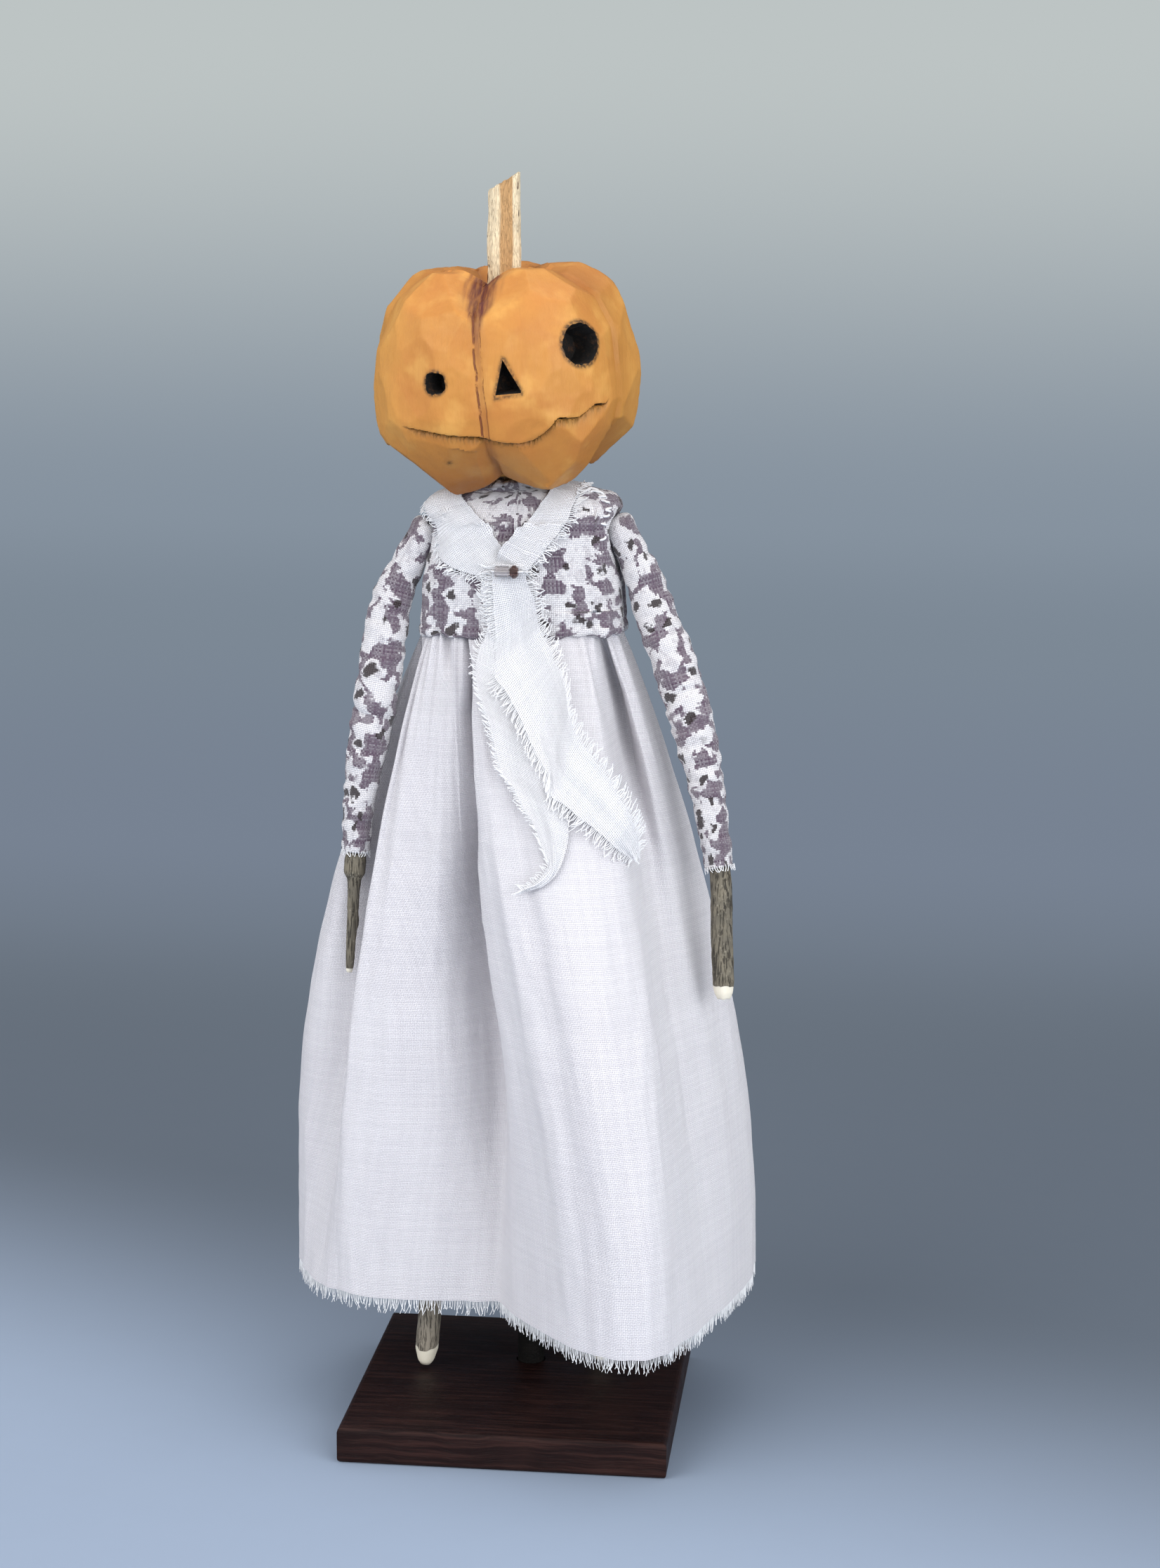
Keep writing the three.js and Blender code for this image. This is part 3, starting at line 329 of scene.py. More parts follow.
def head_material(head, grain):
    g = new_material("Stained carving", 0.5, Specular_IOR_Level=0.3, Coat_Weight=0.08, Coat_Roughness=0.4)
    place = g.place()
    wood = g.outputs("Group", {"Place": place, "Scale": 1.0}, node_tree=grain)
    small = g.noise(place, 0.35, 3.0, 0.6)
    amount = g.noise(place, 0.075, 4.0, 0.55, 0.3) + (g.attribute("facet") - 0.5) * 0.2 + (small - 0.5) * 0.3
    colour = g.layers(
        g.mix(g.span(amount, 0.25, 0.88), head.light, head.dark),
        (g.span(g.noise(place, 0.12, 3.0), 0.5, 0.7) * 0.42, "e4ae5c"),
        (g.span(g.noise(place + (40.0, 0.0, 0.0), 0.055, 3.0), 0.5, 0.72) * 0.32, "c47a3e"),
        (g.span(wood["Streaks"], 0.45, 0.8) * 0.32, "b97a38"),
        # Painted shade from the shade mark: darker grooves, and shade at the bottom, under the mouth and lip and round
        # the sides
        (g.attribute("shade") * 0.78, "8a4f17"),
        (g.attribute("pale") * 0.1, "c2a263"),
        # Painted light: the head grows lighter towards its left and right sides
        (g.span(abs(g.split(place)[0] + 4.0), 17.0, 36.0, 0.0, 0.5), "e6ab54"))

    # The groove: a red-brown wash at the top, then two scratched lines down to the mouth
    washed = g.attribute("stain") * g.span(g.streaks(place, (1.1, 0.15, 0.12)), 0.3, 0.6, 0.5, 1.0)
    wobble = (g.streaks(place, (0.0, 0.0, 0.16), 3.0) - 0.5) * 1.6
    across = g.attribute("across") + wobble
    scratches = 0.0
    for side, wide, strong in ((-0.75, 0.32, 1.0), (0.8, 0.2, 0.6)):
        stretched = g.value("Mapping", {"Vector": place, "Scale": (0.3, 0.3, 0.22)})
        kept = g.span(g.noise(stretched + (side * 9, 0.0, 0.0), 1.0, 4.0, 0.7), 0.4, 0.56, 0.0, strong)
        line = kept * g.span(abs(across - side), wide * 0.3, wide, 1.0, 0.0)
        scratches = g.math("MAXIMUM", scratches, line)
    scratches = scratches * g.attribute("groove")

    # The mouth: a thin dark line painted into its slit as its shadow, and painted olive shade under the upper lip,
    # broken by knife marks
    over, mouth = g.attribute("over"), g.attribute("mouth")
    shaky = over + g.shifting(0.5, place, 0.9)
    line = g.span(abs(shaky + 0.12), 0.14, 0.42, 1.0, 0.0) * mouth
    marks = g.span(g.streaks(place, (1.5, 1.5, 0.2), 3.0), 0.42, 0.62)
    under = g.span(shaky, -2.9, -0.1) * g.span(over, 0.0, 0.3, 1.0, 0.0) * mouth * (marks * 0.7 + 0.2)
    rim = g.attribute("rim") * g.span(g.noise(place, 1.3, 3.0), 0.3, 0.6, 0.35, 1.0)
    # Painted shade under the lip, painted shadow along the mouth, and burnt wood round the eyes and nose and at the
    # chin's dot
    colour = g.layers(colour, (washed, head.groove_stain), (scratches * 0.85, "6b3220"), (under * 0.7, "5d4a20"),
                      (g.math("MAXIMUM", line, rim) * 0.9, "23170b"))
    g.feed(g.shader.inputs["Roughness"], g.span(small, 0.3, 0.7, 0.45, 0.62, "LINEAR"))
    cuts = g.streaks(place, (0.9, 0.9, 0.12), 3.0, 0.6)
    height = (wood["Streaks"] * 0.05 + cuts * 0.09 - wood["Pores"] * 0.02 - line * 0.4 - scratches * 0.3
              - under * marks * 0.25)
    return g.finish(colour, height)


def burnt_material(head):
    g = new_material("Burnt wood", 0.85)
    place = g.place()
    colour = g.mix(g.span(g.noise(place, 0.5, 4.0, 0.7), 0.5, 0.75), head.burnt, linear("4a2e17"))
    return g.finish(colour, g.noise(place, 1.2, 4.0, 0.7), 0.6)


def stem_material(wood, grain):
    g = new_material("Split branch", 0.7)
    place = g.place()
    lines = g.outputs("Group", {"Place": place, "Scale": 1.4}, node_tree=grain)
    edge = g.attribute("heart") + (g.streaks(place, (0.8, 0.8, 0.12), 3.0) - 0.5) * 0.9
    rot = g.span(g.streaks(place, (0.9, 0.9, 0.3), 3.0), 0.6, 0.68) * g.attribute("bark")
    colour = g.layers(wood.stem, (g.span(edge, 0.2, 0.85), wood.heart),
                      (g.span(lines["Streaks"], 0.5, 0.75) * 0.45, wood.heart), (rot, "4b2f1f"))
    return g.finish(colour, lines["Streaks"] + lines["Pores"] * -0.6, 0.35)


def bark_material(wood, grain):
    g = new_material("Bark", 0.85, Specular_IOR_Level=0.25)
    place = g.place()
    cracks = g.span(g.streaks(place, (2.2, 2.2, 0.16), 4.0, 0.65), 0.5, 0.64)
    patches = g.noise(place, 0.25, 3.0, 0.6)
    specks = g.value("TexVoronoi", {"Vector": place, "Scale": 0.9}, "Distance")
    lines = g.outputs("Group", {"Place": place, "Scale": 2.0}, node_tree=grain)
    cut = g.span(g.attribute("cut"), 0.35, 0.55)
    colour = g.layers(
        wood.bark, (g.span(patches, 0.35, 0.7), "7f7767"), (g.attribute("dry"), "a99f90"),
        (cracks * 0.8, wood.bark_dark),
        (g.span(specks, 0.12, 0.26, 1.0, 0.0) * 0.55, "989080"),
        (cut, g.mix(lines["Streaks"] * 0.35, wood.bare, linear("cdbb93"))))
    return g.finish(colour, (patches * 0.7 - cracks) * (1.0 - cut), 0.3)


def stained_wood(name, base, worn, grain, roughness):
    g = new_material(name, roughness, Specular_IOR_Level=0.14)
    place = g.place()
    turned = g.value("Mapping", {"Vector": place, "Rotation": (0, math.pi / 2, 0)})
    lines = g.outputs("Group", {"Place": turned, "Scale": 0.6}, node_tree=grain)
    patch = g.noise(place, 0.05, 3.0, 0.6)
    colour = g.layers(base, (g.span(lines["Streaks"], 0.4, 0.75), worn), (g.span(patch, 0.5, 0.75) * 0.35, worn))
    g.feed(g.shader.inputs["Roughness"], g.span(patch, 0.3, 0.7, roughness - 0.08, roughness + 0.12, "LINEAR"))
    return g.finish(colour, lines["Streaks"] * 0.7 - lines["Pores"] * 0.6, 0.1)


def dimmed(digits, share):
    """A colour, and the same one darker."""
    return linear(digits), tuple(c * share for c in linear(digits))


def speckled(name, tones, scale, detail=2.0, roughness=0.05, bumps=None, **constants):
    """A plain finish between two colours. Bumps are given as a scale and a depth in millimetres."""
    g = new_material(name, roughness, **constants)
    place = g.place()
    colour = g.mix(g.noise(place, scale, detail), *tones)
    return g.finish(colour, *((g.noise(place, bumps[0]), bumps[1]) if bumps else ()))


MATERIALS = {}


def make_materials():
    scene = bpy.context.scene
    head, cloth, wood = scene.doll_head, scene.doll_cloth, scene.doll_wood
    weave, grain = weave_group(), grain_group()
    glass = {"Transmission_Weight": 0.85, "IOR": 1.45}
    MATERIALS.update(
        head=head_material(head, grain),
        burnt=burnt_material(head),
        stem=stem_material(wood, grain),
        bark=bark_material(wood, grain),
        base=stained_wood("Base stain", wood.base, "35201c", grain, 0.5),
        post=stained_wood("Black paint", linear("0b0a09"), "181513", grain, 0.6),
        plain=stained_wood("Plain wood", linear("c8a87a"), "a98557", grain, 0.7),
        cotton=cloth_material("Printed cotton", print_colour(cloth), cloth.cotton_pitch, weave, 0.2),
        muslin=cloth_material("Muslin", cloth.muslin, cloth.muslin_pitch, weave, 0.11),
        scarf=cloth_material("Scarf muslin", cloth.scarf, cloth.muslin_pitch, weave, 0.14, sheer=0.25, mottle=0.15),
        thread=speckled("White thread", dimmed("f8f8f9", 0.8), 3.0, roughness=0.9, bumps=(8.0, 0.05),
                        Sheen_Weight=0.3),
        clear=speckled("Clear glass", dimmed("efeaea", 0.75), 0.8, **glass),
        brown=speckled("Brown glass", dimmed("8a6a62", 0.75), 0.8, **glass),
        wire=speckled("Drawn wire", ((0.5, 0.5, 0.52), (0.34, 0.34, 0.36)), 1.5, 3.0, roughness=0.35, Metallic=1.0),
    )


CAD_FINISHES = {
    "base_board": "base", "support_post": "post", "torso_block": "plain", "neck_peg": "plain",
    "bugle_bead": "clear", "seed_bead": "brown", "bead_thread": "thread",
    "left_armhole_thread": "thread", "right_armhole_thread": "thread",
    "left_hip_staple": "wire", "right_hip_staple": "wire", "left_hip_eye": "wire", "right_hip_eye": "wire",
}


# ---------------------------------------------------------------- shaping

def smooth_step(value, low, high):
    share = np.clip((value - low) / (high - low), 0, 1)
    return share * share * (3 - 2 * share)


def bell(value):
    """1 where the value is 0, falling away to both sides."""
    return np.exp(-value ** 2)


def size_of(vectors):
    return np.linalg.norm(vectors, axis=-1)


def unit(vectors):
    return vectors / np.maximum(size_of(vectors), 1e-9)[..., None]


def run_of(points):
    """How far along a line each of its points is."""
    return np.concatenate([[0], np.cumsum(size_of(np.diff(points, axis=0)))])


def nth(share, count):
    return np.rint(share * count).astype(int)


def hermite(t, start, end, leave, arrive):
    """A curve from start to end with the given slopes, at shares t of it."""
    return ((2 * t**3 - 3 * t**2 + 1) * start + (t**3 - 2 * t**2 + t) * leave
            + (3 * t**2 - 2 * t**3) * end + (t**3 - t**2) * arrive)


def smooth_line(points, shares):
    """A smooth curve through points, at shares of the way along it."""
    points = np.asarray(points, float)
    at = run_of(points)
    steps = np.diff(at)
    slopes = np.diff(points, axis=0) / steps[:, None]
    weight = (steps[1:] / (steps[1:] + steps[:-1]))[:, None]
    tangents = np.vstack([slopes[:1], slopes[:-1] * weight + slopes[1:] * (1 - weight), slopes[-1:]])
    where = np.clip(np.asarray(shares, float), 0, 1) * at[-1]
    k = np.clip(np.searchsorted(at, where, side="right") - 1, 0, len(steps) - 1)
    size = steps[k][:, None]
    return hermite(((where - at[k]) / steps[k])[:, None], points[k], points[k + 1], size * tangents[k],
                   size * tangents[k + 1])


def wavy(places, scale, seed=0):
    """Soft noise from -1 to 1 at places in millimetres."""
    shift = Vector((seed * 17.3, seed * 5.7, seed * 9.1))
    return np.array([noise.noise(Vector(p) * scale + shift) for p in places])


def made(name, material):
    """The object that the last operator added, under its name and with its material."""
    piece = bpy.context.object
    piece.name = piece.data.name = name
    piece.data.materials.clear()
    piece.data.materials.append(MATERIALS[material])
    return piece


def only(piece):
    bpy.ops.object.select_all(action="DESELECT")
    piece.select_set(True)
    bpy.context.view_layer.objects.active = piece


def in_edit_mode(piece, *steps):
    """Selects the whole mesh in edit mode and runs steps on it."""
    only(piece)
    bpy.ops.object.mode_set(mode="EDIT")
    bpy.ops.mesh.select_all(action="SELECT")
    for step in steps:
        step()
    bpy.ops.object.mode_set(mode="OBJECT")


def face_outwards():
    bpy.ops.mesh.normals_make_consistent(inside=False)


def merge_seams():
    bpy.ops.mesh.remove_doubles(threshold=1e-6)


def read(items, key, width=1, kind=float):
    flat = np.empty(len(items) * width, kind)
    items.foreach_get(key, flat)
    return flat.reshape(-1, width) if width > 1 else flat


def corners_of(piece):
    return read(piece.data.vertices, "co", 3) / MM


def corner_normals(piece):
    return read(piece.data.vertices, "normal", 3)


def move_corners(piece, places):
    piece.data.vertices.foreach_set("co", (places * MM).ravel())
    piece.data.update()


def shaped_grid(name, material, columns, rows, place, cloth=None, closed=True):
    """A grid whose corners place(u, v) puts in millimetres, with u and v as shares of its two ways.
    cloth(u, v) gives the woven material's place on it, and closed joins its two sides."""
    bpy.ops.object.select_all(action="DESELECT")
    bpy.ops.mesh.primitive_grid_add(x_subdivisions=columns, y_subdivisions=rows, size=2)
    piece = made(name, material)
    mesh = piece.data
    flat = read(mesh.vertices, "co", 3)
    u, v = nth((flat[:, 0] + 1) / 2, columns) / columns, nth((flat[:, 1] + 1) / 2, rows) / rows
    move_corners(piece, np.asarray(place(u, v)))
    if cloth is None:
        mesh.uv_layers.remove(mesh.uv_layers[0])
    else:
        corners = read(mesh.loops, "vertex_index", kind=int)
        mesh.uv_layers[0].name = "cloth"
        mesh.uv_layers[0].data.foreach_set("uv", np.column_stack(cloth(u, v))[corners].ravel())
    if closed:
        in_edit_mode(piece, merge_seams, face_outwards)
    bpy.ops.object.shade_smooth()
    return piece


def mark(piece, name, values):
    """Stores a value for each corner, which the materials read by name."""
    layer = piece.data.attributes.new(name, "FLOAT", "POINT")
    layer.data.foreach_set("value", np.asarray(values, float))


def with_modifier(piece, kind, **settings):
    """Adds a modifier and applies it."""
    only(piece)
    modifier = piece.modifiers.new("shape", kind)
    for key, value in settings.items():
        setattr(modifier, key, value)
    bpy.ops.object.modifier_apply(modifier=modifier.name)


def cut_away(piece, cutter):
    """Cuts one object out of another. The new faces keep the cutter's material."""
    with_modifier(piece, "BOOLEAN", operation="DIFFERENCE", solver="EXACT", material_mode="TRANSFER", object=cutter)
    bpy.data.objects.remove(cutter, do_unlink=True)


def crease_over(piece, degrees):
    only(piece)
    bpy.ops.object.shade_smooth_by_angle(angle=math.radians(degrees))


def line_frames(points, shares):
    """Places and ways along a smooth line, and two directions square to it that don't twist."""
    shares = np.asarray(shares, float)
    small = 1e-3
    ways = unit(smooth_line(points, shares + small) - smooth_line(points, shares - small))
    side = np.cross(ways[0], (0, 1, 0))
    sides = []
    for way in ways:
        side = side - way * np.dot(side, way)
        side /= np.linalg.norm(side)
        sides.append(side)
    return smooth_line(points, shares), ways, np.array(sides), np.cross(ways, sides)


def round_line(side, up, angle):
    """Directions round a line, from two directions square to it."""
    return side * np.cos(angle)[:, None] + up * np.sin(angle)[:, None]


def tube(name, material, points, radius, columns, rings, relief):
    """A round body along a line. radius(share) is in millimetres, and relief(angle, distance, share) adds to it."""
    shares = np.concatenate([[0] * 3, np.linspace(0, 1, rings), [1] * 3])
    full = np.concatenate([[0.0, 0.6, 0.93], np.ones(rings), [0.93, 0.6, 0.0]])
    middle, _, side, up = line_frames(points, shares)
    total = run_of(smooth_line(points, np.linspace(0, 1, 200)))[-1]

    def place(u, v):
        ring, angle = nth(v, len(shares) - 1), u * ROUND
        share = shares[ring]
        reach = ((radius(share) + relief(angle, share * total, share)) * full[ring])[:, None]
        return middle[ring] + reach * round_line(side[ring], up[ring], angle)

    return shaped_grid(name, material, columns, len(shares) - 1, place)


# ---------------------------------------------------------------- head

HEAD_BOTTOM = 6.8
HEAD_HEIGHT = 53.6
HEAD_DEPTH_SHARE = 0.93
HEAD_MIDDLE = HEAD_BOTTOM + HEAD_HEIGHT * 0.49
HEAD_LOBES = 5
LOBE = 360 / HEAD_LOBES
TOP_CUTS = 60  # knife cuts above this height lie on the pumpkin's top
# Radius and height, from the neck peg's hole under the head to the stem's seat on top of it
HEAD_OUTLINE = [
    (0, 21.8), (2.2, 21.9), (3.3, 21.6), (3.35, 11.2), (4.2, 10.4), (8.5, 10.4), (11.5, 9.8), (15.4, 8.2),
    (19.4, 7.9), (23.8, 11.2), (28.0, 16.4), (31.0, 23.2), (32.4, 31.5), (32.1, 40), (30.5, 48.1), (27.5, 54),
    (22.4, 58.5), (16.2, 60.4), (10.7, 59.3), (7.1, 56.6), (4.9, 55.8), (0, 55.6)]
# Places on the skin: degrees round from the front, and the rise over the head's middle
MOUTH = np.array([
    (-42.8, -6.9), (-36, -7.7), (-27.9, -8.7), (-20.7, -9.5), (-13.7, -10.1), (-2.4, -10.9), (6.1, -12.5),
    (15.2, -13.2), (21, -12.9), (25.5, -11.5), (29.8, -9.2), (31.5, -8.1), (33.1, -7.9), (42.3, -8.5),
    (46.9, -7.3), (51, -5.9), (58.5, -6.2), (62.7, -4.8)])
NOSE = [(5.8, -1.9), (17.3, -1.3), (17.4, -0.7), (11.2, 7.2), (10.3, 7.4), (5.7, -1.3)]
EYES = [
    {"turn": -19.9, "rise": 2.6, "width": 2.95, "height": 2.75, "depth": 6.0, "square": 3.2},
    {"turn": 46.4, "rise": 8.6, "width": 5.7, "height": 5.3, "depth": 8.0, "square": 2.0},
]


def on_head(places):
    """Moves places from the upright head's own frame to where it sits, leaning on the neck peg."""
    lean = Vector((-0.09, -0.05, 1)).normalized()
    upright = Vector((0, 0, 1)).rotation_difference(lean).to_matrix().to_4x4()
    foot = Matrix.Translation(Vector(DOLL_AT + (-1, -1, BLOCK_HEIGHT)))
    matrix = foot @ upright @ Matrix.Rotation(math.radians(-4.5), 4, "Z")
    return np.asarray(places) @ np.array(matrix.to_3x3()).T + np.array(matrix.translation)


def head_skin(radius, height, turn):
    """The grooved pumpkin before the knife has flattened it, from an outline's radius and height."""
    middle = np.abs(height - HEAD_MIDDLE) / (HEAD_HEIGHT / 2)
    degrees = np.degrees(np.abs(turn))
    lobe = np.abs(np.sin(turn * HEAD_LOBES / 2))
    front = smooth_step(degrees, 30, 8) * smooth_step(middle, 0.95, 0.7)
    valley = (1 - lobe ** 0.6) * (1 - 0.75 * front) + bell(degrees / 2.4) * 0.35 * front
    under = smooth_step(height, 20, 10) * smooth_step(radius, 8, 13)
    over = smooth_step(height, 52, 58) * smooth_step(radius, 4, 9)
    swell = lobe ** 0.9
    facing, behind = smooth_step(degrees, 60, 20), smooth_step(degrees, 62, 84)
    left_cheek = np.clip(-np.sin(turn), 0, 1) * smooth_step(radius, 18, 26) * bell((height - 25) / 11)
    radius = radius + 2.3 * left_cheek
    height = (height + under * (2.6 + 1.6 * facing - (3.3 + 1.0 * facing) * swell + 2.8 * behind)
              - over * (1.7 + 2.4 * facing) * (1 - swell) - 0.5 * over * np.sin(turn))
    radius = radius - (1.6 + 2.8 * smooth_step(middle, 0.45, 1)) * valley * smooth_step(radius, 10.5, 16)
    return np.column_stack([radius * np.sin(turn), -radius * HEAD_DEPTH_SHARE * np.cos(turn), height])


def outer_radius(height):
    outer = HEAD_OUTLINE[7:18]
    return np.interp(height, [z for _, z in outer], [r for r, _ in outer])


def skin_at(turn, rise):
    height = HEAD_MIDDLE + rise
    return head_skin(np.array([outer_radius(height)]), np.array([height]), np.array([math.radians(turn)]))[0]


def knife_cuts():
    """The knife's flats: degrees round, height, two tilts, depth and lobe for each."""
    chance = random.Random(SEED)
    cuts = []
    for lobe in range(HEAD_LOBES):
        for row, height in enumerate((9.5, 15.0, 22.5, 31.5, 41.0, 49.5, 56.0)):
            for column in (-25, -1, 23) if row % 2 else (-17, 10, 31):
                turn = (lobe * LOBE + 36 + column + chance.uniform(-3, 3) + 180) % 360 - 180
                face = abs(turn) < 55 and 18 < height < 52
                cuts.append((turn, height + chance.uniform(-1.8, 1.8), chance.uniform(-4, 4), chance.uniform(-5, 5),
                             chance.uniform(0.25, 0.5) if face else chance.uniform(0.8, 1.6), lobe))
        for turn in (14, 38, 60):
            cuts.append(((lobe * LOBE + turn + 180) % 360 - 180, TOP_CUTS + 1.5, 0, chance.uniform(-5, 5),
                         chance.uniform(0.4, 0.9), lobe))
    return cuts


def flatten(places, normals, turns):
    """Moves each place inwards to the deepest knife cut over it, and says which cut that was."""
    lobes = np.floor((np.degrees(turns) % 360) / LOBE).astype(int)
    inwards = np.zeros(len(places))
    owner = np.full(len(places), -1)
    for index, (turn, height, sideways, tilt, depth, lobe) in enumerate(knife_cuts()):
        angle = math.radians(turn)
        reach = 16.0 if height > TOP_CUTS else float(outer_radius(height))
        centre = head_skin(np.array([reach]), np.array([min(height, 60.3)]), np.array([angle]))[0]
        near = size_of(places - centre)
        close = np.argmin(near)
        way = Vector(normals[close])
        way.rotate(Matrix.Rotation(math.radians(tilt), 3, Vector((math.cos(angle), math.sin(angle), 0))))
        way.rotate(Matrix.Rotation(math.radians(sideways), 3, "Z"))
        over = (places - places[close]) @ np.array(way) + depth
        along = np.maximum(normals @ np.array(way), 0.3)
        cut = np.where((over > 0) & (near < 14) & (lobes == lobe), over / along, 0)
        owner = np.where(cut > inwards, index, owner)
        inwards = np.maximum(cut, inwards)
    return places - normals * np.minimum(inwards, 2.8)[:, None], owner


def uneven_steps(low, high, spacing):
    """Values from low to high whose spacing follows a function."""
    fine = np.linspace(low, high, 4000)
    travelled = np.concatenate([[0], np.cumsum(1 / spacing((fine[1:] + fine[:-1]) / 2) * np.diff(fine))])
    steps = int(round(travelled[-1]))
    return np.interp(np.linspace(0, travelled[-1], steps + 1), travelled, fine)


class CarveHead(bpy.types.Operator):
    """Carves the pumpkin head: its lobes, knife flats, mouth, eyes and nose"""

    bl_idname = "doll.carve_head"
    bl_label = "Pumpkin head"

    def execute(self, context):
        piece = self.skin_grid()
        places, normals = corners_of(piece), corner_normals(piece)
        turns = np.arctan2(places[:, 0], -places[:, 1] / HEAD_DEPTH_SHARE)
        degrees, heights = np.degrees(turns), places[:, 2].copy()
        radii = np.hypot(places[:, 0], places[:, 1] / HEAD_DEPTH_SHARE)
        outside = radii > 13
        facing = outside & (np.abs(degrees) < 68)
        cut, owner = flatten(places, normals, turns)
        cut = np.where(outside[:, None], cut, places)

        over = heights - HEAD_MIDDLE - np.interp(degrees, MOUTH[:, 0], MOUTH[:, 1])
        ends = smooth_step(degrees, -40, -31) * smooth_step(degrees, 62, 54)
        mouth = np.where(facing & (heights > 10) & (heights < 45), ends, 0)
        hatch = wavy(np.column_stack([degrees * 1.1, heights * 0.12, heights * 0]), 1.0, 3)
        lower = np.minimum(over, 0)
        below = np.where(over < 0, np.exp(lower / 2.6), 0)
        lip = context.scene.doll_head.lip / MM * below * (0.9 + 0.3 * hatch * np.exp(lower / 3))
        slit = 0.5 * bell((over + 0.3) / 0.5)
        bulge = np.where(over >= 0, 0.3 * np.exp(-np.maximum(over, 0) / 1.6), 0)
        carved = cut - normals * ((lip + slit - bulge) * mouth)[:, None]
        rough = wavy(carved, 0.5, 1) * 0.07 + wavy(carved, 0.16, 2) * 0.16
        carved += normals * np.where(outside, rough, 0)[:, None]
        move_corners(piece, on_head(carved))

        chance = random.Random(SEED + 1)
        tones = np.array([chance.random() for _ in range(400)])
        across = turns * radii
        top = smooth_step(heights, 45, 57)
        width = 0.7 + 2.9 * top + 1.2 * smooth_step(heights, 14, 8)
        ragged = wavy(places * (1.2, 0, 0.22), 1.0, 5)
        stain = np.exp(-(np.abs(across) / (width * (1 + 0.35 * ragged))) ** 4) * (
            0.28 + 0.72 * smooth_step(heights, 38, 52))
        grooves = 1 - np.abs(np.sin(turns * HEAD_LOBES / 2)) ** 0.35
        grooves = np.where(np.abs(degrees) < 20, grooves * 0.3, grooves)
        jaw = smooth_step(over, 0.2, -1.0) * facing * smooth_step(degrees, 20, -10)
        # Darker in the grooves; painted shade towards the bottom, under the mouth, lowest on the face's left, round the
        # sides behind the face and under the lip on the left
        shade = (grooves * 0.8 + smooth_step(heights, 22, 9) * 0.3 + below * mouth * 0.3
                 + smooth_step(heights, 12, 8.5) * (turns < 0) * facing * 0.4
                 + smooth_step(np.abs(degrees), 66, 74) * 0.3 + jaw * 0.35)
        marks = {
            "facet": np.where(owner >= 0, tones[owner], 0.5),
            "across": np.clip(across, -9, 9),
            "over": np.clip(over, -9, 9),
            "mouth": mouth,
            "groove": np.where(facing & (np.abs(across) < 4), smooth_step(over, -1.0, 0.5) * (1 - top), 0),
            "stain": np.where(outside | (heights > 50), np.clip(stain, 0, 1), 0),
            "shade": np.clip(shade, 0, 1),
            "pale": bell((across - 3) / 3.5) * bell((heights - 14) / 3.5) * facing,
            "rim": self.rims(places, degrees, radii, heights - HEAD_MIDDLE, facing),
        }
        for name, values in marks.items():
            mark(piece, name, values)

        for eye in EYES:
            cut_away(piece, eye_cutter(eye))
        cut_away(piece, nose_cutter())
        darken_rims(piece)
        crease_over(piece, 38)
        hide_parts("pumpkin_head")
        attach(piece, "head")
        return {"FINISHED"}

    def skin_grid(self):
        """The pumpkin's skin, with the finest corners on its face."""
        sharp = 1.0
        shares = np.linspace(0, 1, 1200)
        outline = smooth_line(HEAD_OUTLINE, shares)
        face = ((outline[:, 1] > 15) & (outline[:, 1] < 48) & (outline[:, 0] > 20)).astype(float)
        length = run_of(outline)[-1]
        rows = uneven_steps(0, 1, lambda s: np.where(np.interp(s, shares, face) > 0.5, 0.42, 0.85) * sharp / length)
        columns = uneven_steps(-180, 180, lambda d: np.where(np.abs(d) < 66, 0.72, 1.6) * sharp)
        ring = smooth_line(HEAD_OUTLINE, rows)

        def skin(u, v):
            row = nth(v, len(rows) - 1)
            return head_skin(ring[row, 0], ring[row, 1], np.radians(columns[nth(u, len(columns) - 1)]))

        return shaped_grid("pumpkin_head_carving", "head", len(columns) - 1, len(rows) - 1, skin)

    def rims(self, places, degrees, radii, rises, facing):
        """How burnt the skin is, which is round the eyes and the nose and at a dot on the chin."""
        rim = bell(size_of(places - skin_at(-23, -17.6)) / 0.8) * 0.9
        for eye in EYES:
            sideways = np.radians(degrees - eye["turn"]) * radii / eye["width"]
            edge = (np.hypot(sideways, (rises - eye["rise"]) / eye["height"]) - 1) * eye["width"]
            rim = np.maximum(rim, bell(np.maximum(edge, 0) / 0.5) * facing)
        flat = np.column_stack([np.radians(degrees) * radii, rises])
        corners = np.array([(math.radians(turn) * 32.0, rise) for turn, rise in NOSE])
        return np.clip(np.maximum(rim, bell(edge_distance(flat, corners) / 0.45) * facing * 0.9), 0, 1)


def edge_distance(places, corners):
    """How far flat places are from the outline through the corners."""
    nearest = np.full(len(places), np.inf)
    for a, b in zip(corners, np.roll(corners, -1, axis=0)):
        share = np.clip(((places - a) @ (b - a)) / np.dot(b - a, b - a), 0, 1)
        nearest = np.minimum(nearest, size_of(places - a - share[:, None] * (b - a)))
    return nearest


def darken_rims(piece):
    """Marks the corners round each cut as burnt, so that no pale line is left between skin and hole."""
    values = piece.data.attributes["rim"].data
    for face in piece.data.polygons:
        if face.material_index > 0:
            for corner in face.vertices:
                values[corner].value = 1.0


def cutter_of(name, sides):
    """A cylinder that a cutter is shaped from, and its corners with the number of each one's side."""
    bpy.ops.object.select_all(action="DESELECT")
    bpy.ops.mesh.primitive_cylinder_add(vertices=sides, radius=1, depth=2)
    cutter = made(name, "burnt")
    flat = corners_of(cutter) * MM
    return cutter, flat, nth(np.arctan2(flat[:, 1], flat[:, 0]) / ROUND, sides) % sides


def shape_cutter(cutter, places):
    move_corners(cutter, on_head(places))
    in_edit_mode(cutter, face_outwards)
    return cutter


